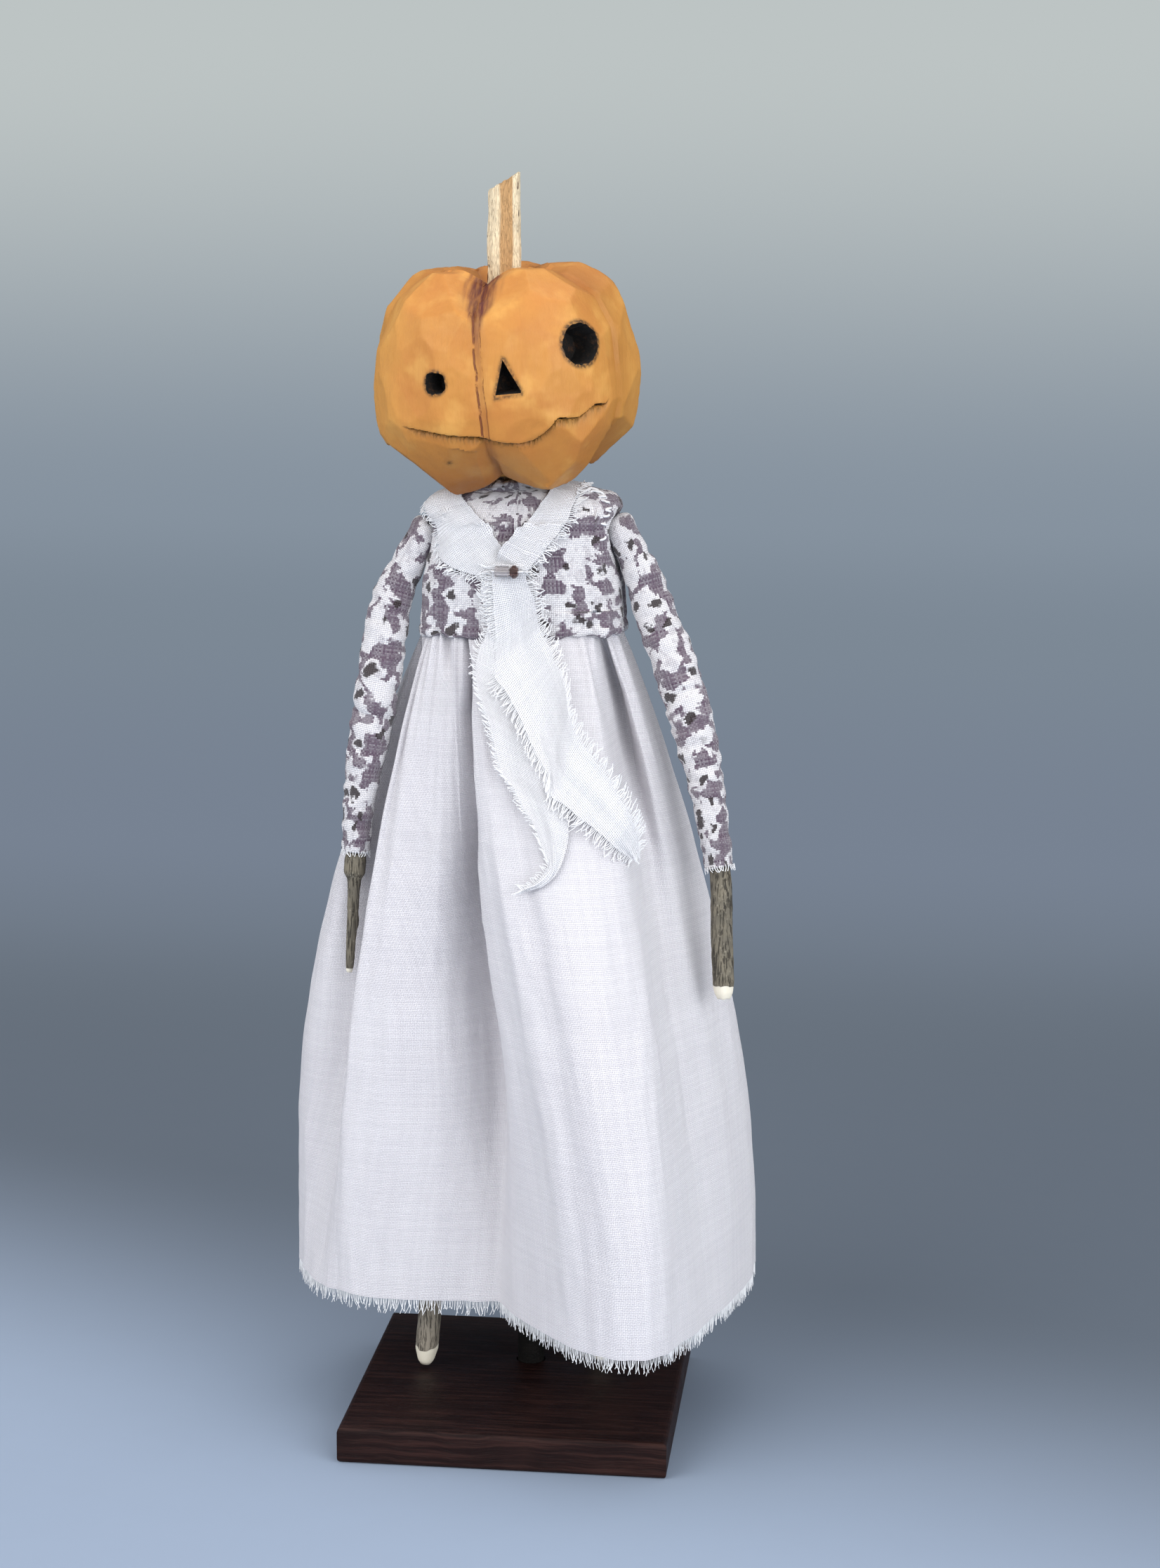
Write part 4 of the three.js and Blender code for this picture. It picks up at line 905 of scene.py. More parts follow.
def eye_cutter(eye):
    """A ragged tapering plug from outside the skin to the bottom of the eye."""
    chance = random.Random(SEED + int(eye["depth"]))
    skin = skin_at(eye["turn"], eye["rise"])
    inwards = unit(np.array([-skin[0], -skin[1], HEAD_MIDDLE + eye["rise"] * 0.6 - skin[2]]))
    cutter, flat, spoke = cutter_of("eye_cutter", 40)
    side = unit(np.cross(inwards, (0, 0, 1)))
    up = np.cross(side, inwards)
    ragged = np.array([1 + chance.uniform(-0.05, 0.05) for _ in range(40)])
    angle, inner = np.arctan2(flat[:, 1], flat[:, 0]), flat[:, 2] > 0
    power = eye["square"]
    full = (np.abs(np.cos(angle)) ** power + np.abs(np.sin(angle)) ** power) ** (-1 / power)
    taper = np.where(inner, 0.72, 1.0) * ragged[spoke] * full
    return shape_cutter(cutter, skin + side * (flat[:, 0] * eye["width"] * taper)[:, None]
                        + up * (flat[:, 1] * eye["height"] * taper)[:, None]
                        + inwards * np.where(inner, eye["depth"], -3.0)[:, None])


def nose_cutter():
    middle = skin_at(11.5, 2.2)
    inwards = unit(np.array([-middle[0], -middle[1], 0]))
    cutter, flat, order = cutter_of("nose_cutter", len(NOSE))
    corners = np.array([skin_at(turn, rise) for turn, rise in NOSE])[order]
    return shape_cutter(cutter, np.where(flat[:, 2:] > 0, corners * 0.75 + middle * 0.25 + inwards * 6.0,
                                         corners - inwards * 3.0))


# ---------------------------------------------------------------- doll's body

def at_doll(*place):
    return DOLL_AT + np.array(place, float)


SHOULDERS = {"left": at_doll(-25.2, -2, 31), "right": at_doll(25, -2, 32.5)}
OUTWARDS = {"left": -1, "right": 1}
# Each sleeve's line from the shoulder down, its cuff's radius, and the hand twig's tip
SLEEVES = {
    "left": {"line": [(0, 0, 0), (-4.4, -1, -9), (-7, -2.3, -17.4), (-9.2, -4.2, -32.4), (-11.2, -5.4, -44.8),
                      (-13.6, -7, -60), (-15, -8, -77.6)], "cuff": 3.5, "tip": (-16.4, -10.5, -108)},
    "right": {"line": [(0, 0, 0), (4, -1, -8.5), (7, -2, -17.6), (12.9, -5, -32.1), (18.4, -8, -49.5),
                       (21.1, -10, -59.5), (22.9, -12, -69), (24.9, -14, -79.3)], "cuff": 3.6,
              "tip": (26.7, -18, -111.2)},
}
BALL_RADIUS = 4.6
SLEEVE_RADIUS = 5.4
TWIG_IN_SLEEVE = 10.0
TWIG_HOLE = 2.95

WAIST_RISE = 7.7
NECK_RISE = 45.1


def super_ring(angle, half_width, half_depth, square):
    """Places on a ring that is rounder for 2 and squarer for more."""
    def bend(value):
        return np.sign(value) * np.abs(value) ** (2 / square)
    return half_width * bend(np.cos(angle)), half_depth * bend(np.sin(angle))


def bodice_rings():
    """Rings from the hem up to the neck, and down inside round the block: x, y, z, half sizes, squareness."""
    body = [(7.3, 24.7, 12.2, 3.2), (7.7, 25.1, 12.6, 3.2), (8.6, 25.2, 12.7, 3.2), (13.4, 24.8, 12.9, 3.2),
            (19, 24.4, 13.2, 3.2), (25, 23.2, 13.2, 3.2), (31.3, 22.0, 12.8, 3.1), (33.2, 21.8, 12.6, 3.0),
            (34.8, 22.1, 12.2, 2.9), (36.2, 23.1, 11.8, 2.8), (37.5, 23.9, 11.3, 2.6), (38.8, 23.5, 10.8, 2.5),
            (40.2, 22.3, 10.3, 2.4), (41.2, 20.9, 9.9, 2.3), (41.9, 19.2, 9.6, 2.2), (42.3, 17.3, 9.4, 2.2),
            (42.6, 14.4, 9.3, 2.2)]
    rings = [(0, -0.6 * (z > 34), z, w, d, q) for z, w, d, q in body]
    for z, radius in ((43.3, 12.0), (43.8, 9.9), (44.5, 8.7), (NECK_RISE, 7.2), (NECK_RISE - 0.1, 3.8),
                      (NECK_RISE - 1, 3.35), (BLOCK_HEIGHT + 0.6, 3.4)):
        over = z - BLOCK_HEIGHT
        rings.append((-1 - 0.09 * over, -1 - 0.05 * over, z, radius, min(radius, 8.8), 2.0))
    rings += [(0, 0, BLOCK_HEIGHT + 0.4, 15.5, 8.3, 5.0), (0, 0, BLOCK_HEIGHT - 0.8, 17.2, 9.1, 6.0),
              (0, 0, WAIST_RISE + 1.0, 17.2, 9.1, 6.0), (0, 0, WAIST_RISE - 0.2, 19.5, 10.4, 3.6)]
    return np.array(rings, float)


def sleeve_line(side):
    return [SHOULDERS[side] + np.array(p) for p in SLEEVES[side]["line"]]


def nearest_on(line, places):
    """For each place the number of the line's nearest point, and how far it is and in which direction."""
    gaps = places[:, None, :] - line[None]
    distances = size_of(gaps)
    nearest = np.argmin(distances, axis=1)
    rows = np.arange(len(places))
    return nearest, distances[rows, nearest], gaps[rows, nearest]


class SewBodice(bpy.types.Operator):
    """Makes the stuffed bodice of printed cotton and the white stitches over its shoulder"""

    bl_idname = "doll.sew_bodice"
    bl_label = "Bodice"

    def execute(self, context):
        rings = bodice_rings()
        fine = 1
        at = run_of(rings[:, 2:5])
        rows = np.unique(np.concatenate([at, np.arange(0, at[-1], 0.75 * fine)]))
        rows = rows[np.concatenate([[True], np.diff(rows) > 0.1])]
        shape = np.column_stack([np.interp(rows, at, rings[:, k]) for k in range(6)])
        columns = 216 // fine
        around = np.arange(columns + 1) / columns
        along = run_of(np.column_stack(super_ring(around * ROUND - math.pi / 2, 23.0, 12.5, 3.0)))

        def place(u, v):
            ring = shape[nth(v, len(rows)) % len(rows)]
            x, y = super_ring(u * ROUND - math.pi / 2, *ring[:, 3:].T)
            return np.column_stack([ring[:, 0] + x, ring[:, 1] + y, ring[:, 2]]) + DOLL_AT

        def cloth(u, v):
            return np.interp(u, around, along), np.append(rows, at[-1] + 3)[nth(v, len(rows))]

        piece = shaped_grid("printed_bodice", "cotton", columns, len(rows), place, cloth)
        places, normals = corners_of(piece), corner_normals(piece)
        x, y, z = (places - DOLL_AT).T
        outer = (np.abs(x) > 18.5) | (np.abs(y) > 9.8) | (z > BLOCK_HEIGHT + 1.5)
        soft = (wavy(places, 0.1, 11) * 0.55 + wavy(places * (1, 1, 0.35), 0.22, 12) * 0.45
                + wavy(places, 0.4, 13) * 0.16)
        turn = np.arctan2(y * 1.7, x)
        gathers = ((np.sin(turn * 27 + 3 * wavy(places, 0.06, 14)) * 0.3 + np.sin(turn * 16) * 0.2)
                   * smooth_step(z, WAIST_RISE + 9, WAIST_RISE)
                   + np.sin(np.arctan2(y + 1, x + 1) * 17) * 0.28 * bell((z - NECK_RISE + 1.9) / 2.5))
        waist_seam = 0.35 * bell((z - WAIST_RISE - 2.6) / 0.5)
        places = places + normals * np.where(outer, soft + gathers - waist_seam, 0)[:, None]
        places[:, 2] += np.where(z < WAIST_RISE + 6, 0.03 * x + 0.3 * wavy(places, 0.09, 15), 0) * outer
        places[:, 2] += 0.04 * x * smooth_step(z, 30, 37) * outer
        for side in SHOULDERS:
            places = self.make_room(side, places, outer)
        move_corners(piece, places)
        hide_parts("bodice")
        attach(piece, "stand")

        thread = self.shoulder_stitches(surface_of([piece]))
        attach(thread, "stand")
        return {"FINISHED"}

    def make_room(self, side, places, outer):
        """Presses a hollow for a sleeve's top: upwards over the shoulder, and inwards under it."""
        line = SHOULDERS[side] + smooth_line(SLEEVES[side]["line"], np.linspace(0, 0.24, 30))
        for _ in range(3):
            _, distance, away = nearest_on(line, places)
            short = np.maximum(BALL_RADIUS + 0.6 - distance, 0) * outer
            away = away / np.maximum(distance, 0.1)[:, None]
            above = smooth_step(places[:, 2] - SHOULDERS[side][2], 2.4, 3.6)[:, None]
            inwards = away * (0, 0.6, 0) - (OUTWARDS[side], 0, 0)
            places = places + (away * above + inwards * (1 - above)) * (short * 1.1)[:, None]
        return places

    def shoulder_stitches(self, skin):
        chance = random.Random(SEED + 7)
        seam = smooth_line([(16.5, 5, 235.0), (18.7, 3, 233.8), (20.8, 1.4, 231.6), (22.4, 0.2, 228.8),
                            (23.0, -1.2, 225.4), (22.4, -1.8, 221.6)], np.linspace(0, 1, 9))
        stitches = []
        for spot in seam:
            lean = chance.uniform(-0.6, 0.6)
            ends = [spot + (-1.3, -0.6 + lean * 0.3, 0.5 - lean), spot + (0.2, -0.2, 0.2),
                    spot + (1.6, 0.2, 0.2 + lean)]
            lifts = [-0.15, 0.3, 0.42, 0.42, 0.3, -0.1]
            stitches.append([lay_on(skin, p, lift) for p, lift in zip(smooth_line(ends, np.linspace(0, 1, 6)), lifts)])
        return strands("shoulder_stitches", "thread", stitches, 0.3)


def surface_of(pieces):
    """One surface, in millimetres, that cloth and thread can be laid on."""
    corners, faces = [], []
    for piece in pieces:
        start = len(corners)
        corners += [piece.matrix_world @ vertex.co / MM for vertex in piece.data.vertices]
        faces += [[start + k for k in face.vertices] for face in piece.data.polygons]
    return BVHTree.FromPolygons(corners, faces)


def lay_on(surface, place, lift):
    spot, way, _, _ = surface.find_nearest(Vector(place))
    return np.array(spot + way * lift)


def strands(name, material, lines, radius):
    """Many short threads as one piece, each along its own line of places in millimetres."""
    curve = bpy.data.curves.new(name, "CURVE")
    curve.dimensions = "3D"
    curve.bevel_depth = radius * MM
    curve.bevel_resolution = 0
    curve.use_fill_caps = True
    for line in lines:
        spline = curve.splines.new("POLY")
        spline.points.add(len(line) - 1)
        for point, place in zip(spline.points, line):
            point.co = (*(np.asarray(place) * MM), 1)
    piece = bpy.data.objects.new(name, curve)
    bpy.context.scene.collection.objects.link(piece)
    only(piece)
    bpy.ops.object.convert(target="MESH")
    piece = made(name, material)
    bpy.ops.object.shade_smooth()
    return piece


def fringe_lines(edge, outwards, surface, chance, pitch, reach, lift=0.4, curl=0.6):
    """Loose threads along an edge: edge and outwards are smooth lines of places and directions."""
    at = run_of(edge)

    def read_at(values, spot):
        return np.array([np.interp(spot, at, column) for column in values.T])

    lines = []
    spot = 0.0
    while spot < at[-1]:
        spot += pitch * chance.uniform(0.6, 1.4)
        start, way = read_at(edge, spot), read_at(outwards, spot)
        along = read_at(edge, spot + 0.3) - start
        along = along / max(np.linalg.norm(along), 1e-6)
        length = reach * chance.uniform(0.55, 1.25)
        bend = chance.uniform(-curl, curl)
        line = []
        for share in (-0.25, 0.0, 0.35, 0.7, 1.0):
            free = max(share, 0)
            place = start + way * length * share + along * bend * length * free ** 2
            if surface is not None:
                high = lift + chance.uniform(0, 0.25) * free
                below, normal, _, _ = surface.find_nearest(Vector(place))
                if (Vector(place) - below).dot(normal) < high:
                    place = np.array(below + normal * high)
            line.append(place)
        lines.append(line)
    return lines


class StuffSleeves(bpy.types.Operator):
    """Makes the two stuffed sleeves, each open at its frayed cuff round the hand twig"""

    bl_idname = "doll.stuff_sleeves"
    bl_label = "Sleeves"

    def execute(self, context):
        for side in SLEEVES:
            self.make_sleeve(side)
        return {"FINISHED"}

    def profile(self, cuff, total, step):
        """Distance down the sleeve and radius: its round top, its outside, then its hem and the twig's hole."""
        cap = [(-BALL_RADIUS * math.cos(a), BALL_RADIUS * math.sin(a)) for a in np.linspace(0, math.pi / 2, 10)[:-1]]
        outer = []
        for distance in np.arange(0, total, step):
            share = distance / total
            radius = BALL_RADIUS + (SLEEVE_RADIUS - BALL_RADIUS) * smooth_step(share, 0, 0.45)
            outer.append((distance, float(radius + (cuff - radius) * smooth_step(share, 0.5, 1))))
        bottom = total - TWIG_IN_SLEEVE
        inner = [(total, cuff), (total + 0.25, cuff - 0.25), (total + 0.1, TWIG_HOLE + 0.15), (total - 1, TWIG_HOLE),
                 (total - 5, TWIG_HOLE), (bottom, TWIG_HOLE), (bottom - 0.4, TWIG_HOLE * 0.5), (bottom - 0.4, 0.0)]
        return np.array(cap + outer + inner), len(cap) + len(outer)

    def make_sleeve(self, side):
        line = smooth_line(sleeve_line(side), np.linspace(0, 1, 160))
        total = run_of(smooth_line(sleeve_line(side), np.linspace(0, 1, 300)))[-1]
        fine = 1
        rings, hem = self.profile(SLEEVES[side]["cuff"], total, 0.6 * fine)
        distance, radius = rings.T
        middle, way, across, up = line_frames(sleeve_line(side), np.clip(distance, 0, total) / total)
        middle = middle + way * (distance - np.clip(distance, 0, total))[:, None]
        run = run_of(rings)

        def place(u, v):
            ring = nth(v, len(rings) - 1)
            return middle[ring] + radius[ring][:, None] * round_line(across[ring], up[ring], u * ROUND)

        def cloth(u, v):
            return u * 30.0 + (63 if side == "left" else 117), run[nth(v, len(rings) - 1)]

        piece = shaped_grid(side + "_printed_sleeve", "cotton", 60 // fine, len(rings) - 1, place, cloth)
        places, normals = corners_of(piece), corner_normals(piece)
        nearest, thick, away = nearest_on(line, places)
        down = nearest / 159 * total
        bulge = np.clip(away[:, 0] * OUTWARDS[side] / BALL_RADIUS, 0, 1)
        places[:, 0] -= OUTWARDS[side] * 1.9 * bulge * smooth_step(down, 17, 2)
        shift = wavy(places * (1, 1, 2.3), 0.16, 21) * 0.5 + wavy(places * (0.7, 0.7, 1.5), 0.3, 22) * 0.3
        turn = np.arctan2(*(places - line[nearest])[:, 1::-1].T)
        chance = random.Random(SEED + (3 if side == "left" else 4))
        for spot, depth in ((9, 0.7), (14.5, 0.45), (38, 0.5), (44, 0.65), (49, 0.4), (66, 0.4)):
            tilt = places[:, 0] * chance.uniform(-0.5, 0.5) + places[:, 1] * chance.uniform(-0.4, 0.4)
            one_side = 0.5 + 0.5 * np.sin(turn + chance.uniform(0, 6.28))
            shift = shift - depth * one_side * bell((down - spot + tilt - tilt.mean()) / 0.9)
        shift = np.where(thick > TWIG_HOLE + 0.5, shift * (0.25 + 0.75 * smooth_step(down, 2, 9)), 0)
        shift = np.where(down < 16, np.minimum(shift, 0.15), shift)
        move_corners(piece, places + normals * shift[:, None])
        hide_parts(side + "_sleeve")
        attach(piece, side + "_arm")

        ring = place(np.linspace(0, 1, 49), np.full(49, hem / (len(rings) - 1)))
        out = way[-1] + (ring - middle[-8]) * 0.02
        lines = fringe_lines(ring, out, None, chance, 0.6, 1.1, curl=0.8)
        loose = strands(side + "_cuff_fringe", "thread", lines, 0.11)
        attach(loose, side + "_arm")


# ---------------------------------------------------------------- twigs

def bark_relief(amount, seed):
    """Cracks along a twig and a few knots, in millimetres."""
    chance = random.Random(seed)
    knots = [(chance.uniform(0.15, 0.85), chance.uniform(0, 6.28)) for _ in range(3)]

    def relief(angle, distance, share):
        places = np.column_stack([np.cos(angle) * 2, np.sin(angle) * 2, distance * 0.25 + seed])
        rough = wavy(places, 1.0, 31) * 0.6 + wavy(places, 2.6, 32) * 0.4
        bumps = sum(bell((share - s) * 40) * bell(np.sin((angle - a) / 2) * 4) for s, a in knots)
        return amount * rough + amount * 1.6 * bumps

    return relief


class CutTwigs(bpy.types.Operator):
    """Makes the hand and leg twigs with their bark and whittled ends"""

    bl_idname = "doll.cut_twigs"
    bl_label = "Hand and leg twigs"

    def execute(self, context):
        self.cut_hand("left", [1.8, 1.8, 2.45, 2.7, 2.6, 1.7, 1.5, 1.3, 1.0, 0.7],
                      lambda total: [0, 9.6, 10.8, 12.5, 15.6, 17.0, 19.0, 28, total - 1.6, total], 5)
        self.cut_hand("right", [2.5, 2.5, 2.62, 2.66, 2.6, 2.25, 1.5],
                      lambda total: [0, 10, 20, 30, total - 3.6, total - 1.5, total], 6)
        self.cut_leg("left", at_doll(-12, -2, -4), (-11.5, -6), 0.8, 9)
        self.cut_leg("right", at_doll(12, -2, -4), (8.5, 3), -0.8, 10)
        return {"FINISHED"}

    def cut_hand(self, side, radii, distances, seed):
        curve = smooth_line(sleeve_line(side), np.linspace(0, 1, 400))
        run = run_of(curve)
        start = run[-1] - TWIG_IN_SLEEVE
        tip = SHOULDERS[side] + np.array(SLEEVES[side]["tip"])
        line = [curve[np.searchsorted(run, start)], curve[np.searchsorted(run, start + 5)], curve[-1],
                (curve[-1] + tip) / 2, tip]
        total = run_of(smooth_line(line, np.linspace(0, 1, 200)))[-1]
        at = distances(total)
        bark = bark_relief(0.22, seed)

        def relief(angle, distance, share):
            calm = smooth_step(distance, total - 2, total - 4.5) * smooth_step(distance, 9, 11)
            return bark(angle, distance, share) * calm

        piece = tube(side + "_hand_twig_bark", "bark", line, lambda s: np.interp(s * total, at, radii), 36, 90, relief)
        places = corners_of(piece)
        down = size_of(places - tip)
        if side == "right":
            cut = smooth_step(down + wavy(places, 0.6, 8) * 0.8, 4.6, 3.4)
            facets = np.abs(np.sin(np.arctan2(places[:, 1] - tip[1], places[:, 0] - tip[0]) * 2))
            move_corners(piece, places + (tip + (0, 0, 2) - places) * (0.09 * facets * cut)[:, None])
        else:
            cut = smooth_step(down, 1.6, 1.0)
        mark(piece, "cut", cut)
        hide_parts(side + "_hand_twig")
        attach(piece, side + "_arm")

    def cut_leg(self, side, hip, foot, sway, seed):
        """Cuts a leg from just under the hip to a foot this far from straight below it, bent a little sideways."""
        end = hip + (*foot, -176.1)
        way = unit(end - hip)
        start = hip + way * 3.25
        length = size_of(end - start)
        line = [start, start + way * length * 0.4 + (sway, 0, 0), start + way * length * 0.8 + (sway / 2, 0, 0), end]
        at = [0, 1.0, length * 0.5, length - 4.2, length - 1.2, length]
        radii = [2.4, 2.95, 2.9, 2.9, 2.1, 1.25]
        bark = bark_relief(0.26, seed)

        def relief(angle, distance, share):
            return bark(angle, distance, share) * smooth_step(distance, length - 1, length - 4)

        piece = tube(side + "_leg_twig_bark", "bark", line, lambda s: np.interp(s * length, at, radii), 36, 200, relief)
        places = corners_of(piece)
        turned = np.arctan2(places[:, 1] - end[1], places[:, 0] - end[0])
        ragged = wavy(places, 0.7, 9) * 0.8 + np.cos(turned + 1.4) * 1.6
        mark(piece, "cut", smooth_step(places[:, 2] - end[2] + ragged, 6.4, 5.2))
        mark(piece, "dry", np.full(len(places), 0.7))
        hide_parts(side + "_leg_twig")
        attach(piece, side + "_leg")


class SplitStem(bpy.types.Operator):
    """Makes the pumpkin's stem, a split branch with its heartwood showing"""

    bl_idname = "doll.split_stem"
    bl_label = "Stem"

    def execute(self, context):
        radius, rows, floor, height, lean = 4.1, 70, 50.6, 31.0, math.radians(5.1)
        corners = np.array([(-1, -0.35), (-0.55, -0.9), (0.25, -0.85), (0.95, -0.4), (0.9, 0.45), (0.3, 0.9),
                            (-0.7, 0.75), (-1, -0.35)]) * radius
        levels = np.concatenate([[0, 0, 0], np.linspace(0, 1, rows), [1, 1, 1]])
        full = np.concatenate([[0.0, 0.5, 0.93], np.ones(rows), [0.95, 0.5, 0.0]])

        def place(u, v):
            ring = nth(v, len(levels) - 1)
            level = levels[ring]
            x, y = [np.interp(u * (len(corners) - 1), np.arange(len(corners)), corners[:, k]) for k in (0, 1)]
            z = level * height
            rough = (wavy(np.column_stack([x * 0.9, y * 0.9, z * 0.1]), 1.0, 41) * 0.34
                     + wavy(np.column_stack([x * 2.4, y * 2.4, z * 0.22]), 1.0, 42) * 0.16)
            reach = (1 - 0.08 * level + rough / radius * (level > 0.1)) * full[ring]
            x, y = x * reach, y * reach
            slant = 4.9 * (x / radius - 0.95) / 1.95 * level
            splinter = np.where(level >= 1, wavy(np.column_stack([x, y, x * 0]), 0.9, 43) * 0.5, 0)
            z = z + slant + splinter + 0.3
            return np.column_stack([x * math.cos(lean) + z * math.sin(lean) + 1.2, y,
                                    -x * math.sin(lean) + z * math.cos(lean) + floor])

        piece = shaped_grid("split_branch_stem", "stem", 84, len(levels) - 1, place)
        places = corners_of(piece)
        x = places[:, 0] - 1.2 - (places[:, 2] - floor) * math.tan(lean)
        mark(piece, "heart", smooth_step(x + 0.3 * places[:, 1], -2.6, -0.4) * smooth_step(x, 2.9, 2.1))
        mark(piece, "bark", smooth_step(np.abs(x), 1.5, 3.5))
        move_corners(piece, on_head(places))
        crease_over(piece, 30)
        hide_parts("stem")
        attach(piece, "head")
        return {"FINISHED"}


# ---------------------------------------------------------------- skirt

SKIRT_TOP = WAIST_RISE - 0.3
SKIRT_LENGTH = 163.0
# Waist angle, hem x and y, then how late, how hollow and how early each fold line runs
FOLD_LINES = np.array([
    (-188, -56.9, 2, 0, 0, 1.28), (-180, -55.5, -9, 0, 1.5, 1.2), (-170, -48.5, -19, 0, 9, 1),
    (-159, -43.5, -25, 0, 0, 1.05), (-146, -34.5, -28, 0, 0, 1), (-135, -21.5, -30.5, 0, 0, 1),
    (-126, -9.5, -31.5, 0.5, 0, 1), (-119, -0.5, -34, 1, 0, 1), (-112, 12.5, -49, 1, 0, 1),
    (-99, 22.5, -58.5, 0.8, 0, 1), (-87, 32.5, -62.5, 0.6, 0, 1), (-71, 39.5, -59.5, 0.4, 0, 1),
    (-53, 44.5, -51, 0.2, 0, 1), (-37, 50, -34, 0, 4.5, 1), (-20, 55.5, -16, 0, 0, 1), (0, 59.3, 2, 0, 0, 1),
    (18, 57.5, 17, 0, 0, 1), (36, 47.5, 27, 0, 1, 1), (54, 37.5, 25.5, 0, 3, 1), (71, 27.5, 32, 0, 0, 1),
    (88, 13.5, 28, 0, 3, 1), (105, -0.5, 34, 0, 0, 1), (121, -14.5, 29.5, 0, 3, 1), (137, -28.5, 33, 0, 0, 1),
    (154, -43.5, 25, 0, 1, 1)])
# Sharp folds: the place among the fold lines, depth, half width, and shares of the length where they start and end
CREASES = [
    (12.1, 1.0, 0.14, -0.1, 0.16), (3.4, 1.2, 0.16, -0.1, 0.5), (10.4, 0.7, 0.2, 0.05, 0.6),
    (8.9, 0.9, 0.14, -0.1, 0.2), (1.6, 1.6, 0.2, -0.1, 0.55), (15.6, 1.3, 0.18, -0.1, 0.5),
    (18.3, 1.5, 0.2, -0.1, 0.5), (20.5, 1.4, 0.2, -0.1, 0.6), (22.4, 1.5, 0.2, -0.1, 0.45), (24.2, 1.2, 0.2, -0.1, 0.5)]
# Folds of the front from the waist down: height, X of the fold's lip, depth, width and width of the lip's wall
MAIN_FOLD = np.array([
    (198, -13.9, 2.2, 1.0, 0.5), (189, -12.2, 5.5, 1.3, 0.5), (178, -11.9, 11.5, 1.9, 0.6), (158, -9.9, 13.0, 3.0, 0.8),
    (144, -9.4, 14.5, 3.8, 1.0), (131, -7.8, 16.5, 6.0, 1.3), (118, -5.2, 18.5, 8.5, 1.6), (105, -2.8, 18.5, 9.5, 2.0),
    (93, -0.8, 17.0, 10.5, 2.6), (80, 0.2, 14.5, 11.5, 3.4), (68, 0.6, 11.5, 12.5, 4.0), (58, 0.8, 9.0, 13, 4.5),
    (30, 1.0, 4.5, 14, 5.0)])
# Height, X of the middle, depth and half width
RIGHT_FOLD = np.array([
    (198, 18.2, 4.0, 0.9), (191, 20.0, 9.0, 1.3), (184, 21.8, 12.5, 1.9), (171, 24.8, 12.5, 2.5), (158, 27.8, 9.0, 3.0),
    (146, 30.4, 4.8, 3.4), (125, 33.5, 1.6, 4.0), (105, 35.0, 0.0, 4.0)])
SMALL_PLEAT = np.array([(198, -19.3, 2.4, 0.8), (193, -19.0, 1.8, 0.9), (187, -18.6, 0, 1.0)])
RIDGE = np.array([
    (178, 20.5, 0, 3), (150, 22.0, 0.8, 5), (120, 24.0, 1.3, 7), (85, 27.0, 1.6, 9), (60, 31.0, 1.4, 9),
    (34, 35.5, 0.8, 9)])


def fold_places(share):
    """Places of the fold lines at shares of the skirt's length: (share, line, x and y)."""
    angle, hem_x, hem_y, late, hollow, early = FOLD_LINES.T
    waist_x, waist_y = super_ring(np.radians(angle), 24.4, 12.2, 2.6)
    share = share[:, None]
    spread = np.sin(np.minimum(1, share * early) * math.pi / 2) ** 0.9
    sideways = spread + (smooth_step(share, 0, 1) - spread) * late
    x = waist_x + (hem_x - waist_x) * sideways
    y = waist_y + (hem_y - waist_y) * spread
    pull = 1 - hollow * np.sin(math.pi * np.minimum(1, share) ** 0.8) / np.hypot(x, y)
    return np.stack([x * pull, y * pull], axis=2)


def round_curve(points, at):
    """A closed smooth curve through a ring of points, read at positions counted in points."""
    count = points.shape[-2]
    k = np.floor(at).astype(int) % count
    p = [points[np.arange(len(at)), (k + shift) % count] for shift in (-1, 0, 1, 2)]
    d = [np.maximum(size_of(b - a), 1e-6)[:, None] ** 0.5 for a, b in zip(p, p[1:])]
    leave, arrive = [((p[i] - p[i - 1]) / d[i - 1] - (p[i + 1] - p[i - 1]) / (d[i - 1] + d[i])
                      + (p[i + 1] - p[i]) / d[i]) * d[1] for i in (1, 2)]
    return hermite((at - np.floor(at))[:, None], p[1], p[2], leave, arrive)


def fold_at(fold, z):
    """A fold's numbers at a height. Above and below the fold its depth is 0."""
    numbers = [np.interp(z, fold[::-1, 0], column) for column in fold[::-1, 1:].T]
    numbers[1] = numbers[1] * ((z <= fold[0, 0] + 4) & (z >= fold[-1, 0] - 8))
    return numbers


def front_folds(x, z):
    """How far the front's folds move the cloth backwards."""
    lip, depth, wide, wall = fold_at(MAIN_FOLD, z)
    left = lip - x
    backwards = depth * smooth_step(left, -0.3, wall) * np.exp(-(np.maximum(left - wall, 0) / wide) ** 1.4)
    backwards -= 0.6 * bell((left + 1.8) / 1.8) * smooth_step(depth, 0, 6)
    middle, depth, wide = fold_at(RIDGE, z)
    backwards -= depth * (np.exp(-(np.abs(x - middle) / wide)) - 0.4)
    for fold in (RIGHT_FOLD, SMALL_PLEAT):
        middle, depth, wide = fold_at(fold, z)
        backwards += depth * np.exp(-(np.abs(x - middle) / wide) ** 2.4)
    return backwards


def creases(at, v):
    count = len(FOLD_LINES)
    deep = 0
    for place, depth, width, start, end in CREASES:
        gap = (at - place - 0.12 * np.sin(v * 9 + place) + count / 2) % count - count / 2
        fade = smooth_step(v, start, start + 0.1) * smooth_step(v, end, end * 0.35)
        wide = width * (1 + 0.8 * v)
        deep = deep + depth * fade * (bell(gap / wide) - 0.35 * bell((np.abs(gap) - 2.1 * wide) / wide))
    return deep


